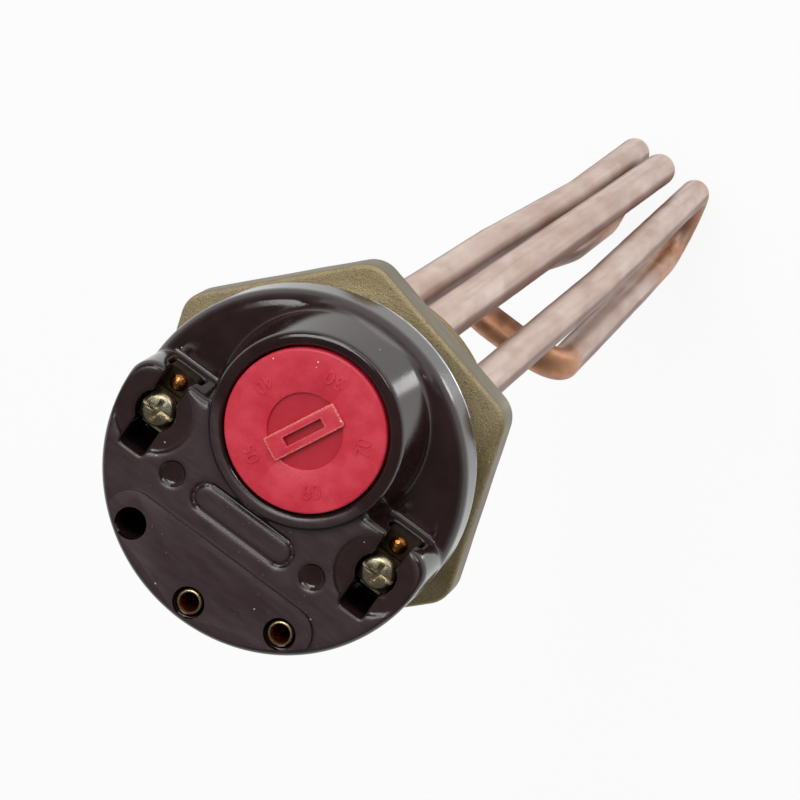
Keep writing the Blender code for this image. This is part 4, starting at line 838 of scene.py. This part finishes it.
def make_knob():
    """Dial with a sunk disc, and the slotted grip bar across it."""
    rim = 0.5 * MM
    face_low = KNOB_TOP - 1.7 * MM
    dip = 0.7 * MM
    hub = 4.2 * MM
    inside = KNOB_RADIUS - 1.6 * MM
    grip_top = KNOB_TOP + 0.8 * MM
    profile = [(SPINDLE_HOLE, KNOB_LOW), (hub, KNOB_LOW), (hub, face_low), (inside, face_low),
               (inside, KNOB_LOW), (KNOB_RADIUS, KNOB_LOW)]
    profile += arc(KNOB_RADIUS - rim, KNOB_TOP - rim, rim, 0, 90, 4)
    profile += [(GRIP_DISC + 0.3 * MM, KNOB_TOP), (GRIP_DISC + 0.1 * MM, KNOB_TOP - 0.1 * MM),
                (GRIP_DISC, KNOB_TOP - dip), (SPINDLE_HOLE, KNOB_TOP - dip),
                (SPINDLE_HOLE, KNOB_TOP - dip - 0.2 * MM)]
    centre = (0, KNOB_Y)
    knob = from_bmesh("dial_knob", lathe(profile, 200, centre, "joined"))
    turn = Matrix.Translation((0, KNOB_Y, 0)) @ Matrix.Rotation(GRIP_TURN, 4, "Z")
    bar = rectangle(-8 * MM, 8 * MM, -2.5 * MM, 2.5 * MM, 0.5 * MM, 4)
    grip = from_bmesh("grip_shape", prism(bar, face_low + 0.5 * MM, grip_top))
    bevelled(grip, 0.25 * MM, 2, 50)
    slot = rectangle(-4.35 * MM, 4.35 * MM, -0.95 * MM, 0.95 * MM, 0.2 * MM, 3)
    combine(grip, [prism(slot, KNOB_TOP - 0.6 * MM, KNOB_TOP + MM)])
    grip.data.transform(turn)
    combine(knob, [grip], "UNION")
    place_on(knob, "knob", finishes["red_knob"], "red_knob", "control_knob")


def make_numbers():
    """Plain raised numbers round the dial, with their tops towards its centre."""
    first_turn = 94
    turn_between = 72
    reach = 12.0 * MM
    for index, number in enumerate((30, 40, 50, 60, 70)):
        angle = math.radians(first_turn + turn_between * index)
        text = bpy.data.curves.new(f"dial_number_{number}", "FONT")
        text.body = str(number)
        text.size = 4.0 * MM
        text.extrude = 0.16 * MM
        text.bevel_depth = 0.05 * MM
        text.align_x = "CENTER"
        text.align_y = "CENTER"
        holder = bpy.data.objects.new("number_shape", text)
        bpy.context.scene.collection.objects.link(holder)
        bpy.context.view_layer.update()
        graph = bpy.context.evaluated_depsgraph_get()
        mesh = bpy.data.meshes.new_from_object(holder.evaluated_get(graph))
        bpy.data.objects.remove(holder)
        spot = Matrix.Translation((reach * math.cos(angle), KNOB_Y + reach * math.sin(angle), KNOB_TOP))
        mesh.transform(spot @ Matrix.Rotation(angle + math.pi / 2, 4, "Z"))
        number_piece = new_piece(f"dial_number_{number}", mesh, 40)
        place_on(number_piece, "knob", finishes["red_knob"], "red_knob")


# copper tubes

TUBE_DENTS = 0.12 * MM
DENTS_PER_METRE = 90


def rounded_route(corners, radii):
    """Centreline through the corners, with each inner corner turned on its own radius."""
    bend_step = math.radians(4)
    route = [Vector(corners[0])]
    for before, corner, after, radius in zip(corners, corners[1:], corners[2:], radii):
        corner = Vector(corner)
        to_before = (Vector(before) - corner).normalized()
        to_after = (Vector(after) - corner).normalized()
        turn = math.pi - to_before.angle(to_after)
        if turn < 1e-4:
            continue
        setback = radius * math.tan(turn / 2)
        start = corner + to_before * setback
        hub = corner + (to_before + to_after).normalized() * (radius / math.cos(turn / 2))
        steps = max(3, round(turn / bend_step))
        axis = (start - hub).cross(corner + to_after * setback - hub).normalized()
        for step in range(steps + 1):
            route.append(hub + Matrix.Rotation(turn * step / steps, 3, axis) @ (start - hub))
    route.append(Vector(corners[-1]))
    return route


def resampled(route, spacing):
    """The same centreline, with points at about this spacing."""
    made = [route[0]]
    for first, second in zip(route, route[1:]):
        steps = max(1, round((second - first).length / spacing))
        for step in range(1, steps + 1):
            made.append(first.lerp(second, step / steps))
    return made


def tube_along(name, route, radius, dents):
    """Round tube on a centreline, pressed in here and there by up to the depth of its dents."""
    sides = 40
    tangents = []
    for index in range(len(route)):
        tangents.append((route[min(index + 1, len(route) - 1)] - route[max(index - 1, 0)]).normalized())
    normal = tangents[0].orthogonal().normalized()
    rings = []
    for point, tangent in zip(route, tangents):
        normal = (normal - tangent * normal.dot(tangent)).normalized()
        side = tangent.cross(normal)
        ring = []
        for step in range(sides):
            angle = 2 * math.pi * step / sides
            offset = normal * math.cos(angle) + side * math.sin(angle)
            low = dents * (0.5 + 0.5 * noise.noise((point + offset * radius) * DENTS_PER_METRE))
            ring.append(tuple(point + offset * (radius - low)))
        rings.append(ring)
    return from_bmesh(name, skin(rings), 50)


def make_element():
    """Down and back at the far fold, round the near bend, down and back again, with the legs' slight bows."""
    near_z = -186.5
    straight_z = THREAD_LOW / MM - 30
    leg_x = LEG_X / MM
    leg_y = LEG_Y / MM
    top = ELEMENT_TOP / MM
    left = [(-13.1, 8.1, -170), (-11.2, 8.4, -265), (-12.4, 9.4, -360),
            (-7.9, -13.1, -353), (-7.6, -13.3, -300), (-12.2, -12.5, -250), (-13.0, -12.5, near_z)]
    right = [(16.8, -12.8, near_z), (14.0, -12.8, -300), (12.3, -13.0, -355),
             (8.6, 9.2, -366), (9.8, 8.7, -310), (12.3, 8.2, -200)]
    corners = [(-leg_x, leg_y, top), (-leg_x, leg_y, straight_z)] + left + right
    corners += [(leg_x, leg_y, straight_z), (leg_x, leg_y, top)]
    slack = 0.86
    left_fold = math.dist(left[2], left[3]) / 2 * slack
    right_fold = math.dist(right[2], right[3]) / 2 * slack
    bow = 300
    kink = 120
    near_bend = 10.5
    pin_hole = 1.55 * MM
    radii = [bow, bow, bow, left_fold, left_fold, kink, kink, near_bend, near_bend, bow]
    radii += [right_fold, right_fold, bow, bow, bow]
    route = rounded_route([Vector(corner) * MM for corner in corners], [radius * MM for radius in radii])
    element = tube_along("copper_element", resampled(route, 2.0 * MM), ELEMENT_RADIUS, TUBE_DENTS)
    holes = [cylinder(pin_hole, ELEMENT_TOP - 5 * MM, ELEMENT_TOP + MM, (x, LEG_Y), 24)
             for x in (-LEG_X, LEG_X)]
    combine(element, holes)
    place_on(element, HOUSING, finishes["dull_copper"], "dull_copper", "heating_element")


def make_pocket():
    """Tube with a round closed end below and a flange on the tube plate."""
    seat = TUBE_PLATE_TOP + GAP
    top = seat + MM
    flange = 6.2 * MM
    bore = POCKET_RADIUS - 0.8 * MM
    profile = arc(0, POCKET_END_Z + POCKET_RADIUS, POCKET_RADIUS, -87, 0, 12)
    profile += [(POCKET_RADIUS, z * MM) for z in range(-330, -14, 4)]
    profile += [(POCKET_RADIUS, seat), (flange, seat), (flange, top), (bore, top)]
    profile += arc(0, POCKET_END_Z + POCKET_RADIUS, bore, 0, -87, 12)
    pocket = from_bmesh("copper_pocket", lathe(profile, 48, POCKET_PLACE), 50)
    x, y = POCKET_PLACE
    for vertex in pocket.data.vertices:
        outside = math.hypot(vertex.co.x - x, vertex.co.y - y) > POCKET_RADIUS - 0.1 * MM
        if outside and vertex.co.z < seat:
            low = (0.5 + 0.5 * noise.noise(vertex.co * DENTS_PER_METRE)) * TUBE_DENTS
            vertex.co.x -= (vertex.co.x - x) / POCKET_RADIUS * low
            vertex.co.y -= (vertex.co.y - y) / POCKET_RADIUS * low
    place_on(pocket, HOUSING, finishes["dull_copper"], "dull_copper", "rod_pocket")


# terminals and sockets

def make_screw(side, word):
    """Pan head with a cross recess and a slot, on its shank."""
    top = 37.1 * MM
    low = 34.7 * MM
    edge = 1.2 * MM
    tip = 25.7 * MM
    shank = 1.9 * MM
    root = 1.6 * MM
    head = 3.5 * MM
    profile = [(1.3 * MM, tip), (shank, tip + 0.6 * MM)]
    turns = 9
    for step in range(turns * 4):
        profile.append(((shank, shank, root, root)[step % 4], tip + 1.0 * MM + step * 0.19 * MM))
    profile += [(shank, low - 0.2 * MM), (shank, low), (head - 0.15 * MM, low), (head, low + 0.15 * MM)]
    profile += arc(head - edge, top - edge, edge, 10, 72, 5) + [(1.0 * MM, top)]
    centre = (side * TERMINAL_X, TERMINAL_Y)
    screw = from_bmesh(f"pan_screw_{word}", lathe(profile, 72, centre), 40)
    half = 0.45 * MM
    reach = 4.5 * MM
    arm = 2.1 * MM
    cross_low = top - 1.5 * MM
    x, y = centre
    slot = prism(rectangle(x - reach, x + reach, y - half, y + half), top - 1.0 * MM, top + MM)
    arms = [prism(rectangle(x - arm, x + arm, y - half, y + half, 0.2 * MM, 2), cross_low, top + MM),
            prism(rectangle(x - half, x + half, y - arm, y + arm, 0.2 * MM, 2), cross_low, top + MM)]
    combine(screw, [slot] + arms)
    bevelled(screw, 0.12 * MM, 2, 40)
    place_on(screw, f"screw_{word}", finishes["terminal_brass"], "terminal_brass", f"terminal_screw_{word}")


def make_socket(name, place):
    """Brass sleeve with a flange below."""
    low = CAVITY_Z
    flange = 3.6 * MM
    top = PAD_Z - 0.5 * MM
    lip = 0.3 * MM
    bore = 1.95 * MM
    outer = 2.6 * MM
    profile = [(bore, low), (flange, low), (flange, low + MM), (outer, low + MM), (outer, top - lip),
               (outer - 0.1 * MM, top - 0.1 * MM), (outer - lip, top), (bore + lip / 2, top),
               (bore, top - lip)]
    tube = from_bmesh(name.replace("tube", "sleeve"), lathe(profile, 64, place, "joined"), 40)
    place_on(tube, HOUSING, finishes["socket_brass"], "terminal_brass", name)


make_plug()
make_plate()
make_head()
make_pad()
make_knob()
make_numbers()
make_element()
make_pocket()
for side, word in ((-1, "left"), (1, "right")):
    make_screw(side, word)
for name, place in zip(("socket_tube_middle", "socket_tube_right"), socket_places()[1:]):
    make_socket(name, place)


# camera, floor and light

def matrix_from(right, up, back, location):
    """Pose of a camera whose own axes point right, up and back."""
    columns = (right, up, back, location)
    return Matrix([[column[row] for column in columns] for row in range(3)] + [[0, 0, 0, 1]])


# fitted to the hexagon's corners and the head's circles in the photograph
CAMERA_RIGHT = Vector((0.80165, 0.54120, -0.25388))
CAMERA_UP = Vector((-0.59002, 0.78457, -0.19058))
CAMERA_BACK = Vector((0.09605, 0.30257, 0.94827))
CAMERA_PLACE = Vector((0.077712, 0.237262, 0.693065))
camera_data = bpy.data.cameras.new("camera")
camera_data.lens = 163.71
camera_data.sensor_width = 36.0
camera_data.clip_start = 0.05
camera_data.clip_end = 50.0
camera = bpy.data.objects.new("camera", camera_data)
camera.matrix_world = matrix_from(CAMERA_RIGHT, CAMERA_UP, CAMERA_BACK, CAMERA_PLACE)
bpy.context.scene.collection.objects.link(camera)
bpy.context.scene.camera = camera


def white_to_eye(finish, share):
    """Mixes in plain white for what the camera and reflections see, and keeps part of the shadow."""
    mirrored = finish.ray("Is Glossy Ray").above(finish.ray("Is Transmission Ray"))
    seen = finish.ray("Is Camera Ray").above(mirrored)
    glow = finish.node("ShaderNodeEmission", sockets={"Color": (1.0, 1.0, 1.0, 1.0)})
    lit = Value(finish, finish.shader.outputs[0])
    finish.end_in(finish.node("ShaderNodeMixShader", sockets={0: seen * share, 1: lit, 2: glow}),
                  "Material Output", "Surface")


def make_floor():
    """Wide white floor just below the part."""
    half = 6.0
    floor_z = cad_box[0][2] - GAP
    floor = from_bmesh("floor", prism(rectangle(-half, half, -half, half), floor_z - 0.02, floor_z))
    finish = Finish("floor_white", {"Base Color": (0.82, 0.82, 0.82, 1.0), "Roughness": 0.9})
    white_to_eye(finish, 0.9)
    floor.data.materials.append(finish.material)


def make_world():
    """Even soft light that the camera sees as white, and that shiny surfaces show darker towards the top."""
    soft = 0.42
    level = 0.45
    overhead = 0.1
    world = bpy.data.worlds.new("studio")
    world.use_nodes = True
    bpy.context.scene.world = world
    nodes = Nodes(world.node_tree)
    height = nodes.axis(nodes.node("ShaderNodeTexCoord", output="Generated"), "Z")
    room = nodes.step(height, 0.0, 0.55, level, overhead)
    strength = soft + (room - soft) * nodes.ray("Is Glossy Ray")
    strength = strength + (1.0 - strength) * nodes.ray("Is Camera Ray")
    white = nodes.node("ShaderNodeBackground", sockets={"Color": (1.0, 1.0, 1.0, 1.0), "Strength": strength})
    nodes.end_in(white, "World Output", "Surface")


def make_lamp(name, azimuth, elevation, distance, size, power):
    """Soft rectangular lamp that faces the head. Its angles are round the part's axis and above the level."""
    data = bpy.data.lights.new(name, "AREA")
    data.shape = "RECTANGLE"
    data.size, data.size_y = size
    data.energy = power
    lamp = bpy.data.objects.new(name, data)
    turn = math.radians(azimuth)
    rise = math.radians(elevation)
    away = Vector((math.cos(rise) * math.cos(turn), math.cos(rise) * math.sin(turn), math.sin(rise)))
    aim = Vector((0.0, 0.0, 0.02))
    lamp.location = aim + away * distance
    lamp.rotation_mode = "QUATERNION"
    lamp.rotation_quaternion = away.to_track_quat("Z", "Y")
    lamp.visible_camera = False
    bpy.context.scene.collection.objects.link(lamp)


make_floor()
make_world()
make_lamp("window_lamp", 97, 28, 1.2, (1.25, 0.65), 4.9)
make_lamp("bright_pane", 66, 28, 1.15, (0.17, 0.35), 0.85)
make_lamp("low_pane", 56, -56, 0.42, (0.05, 0.13), 0.07)
make_lamp("front_lamp", 135, 60, 1.5, (0.9, 0.9), 12.5)

bpy.context.scene.view_settings.view_transform = "Standard"
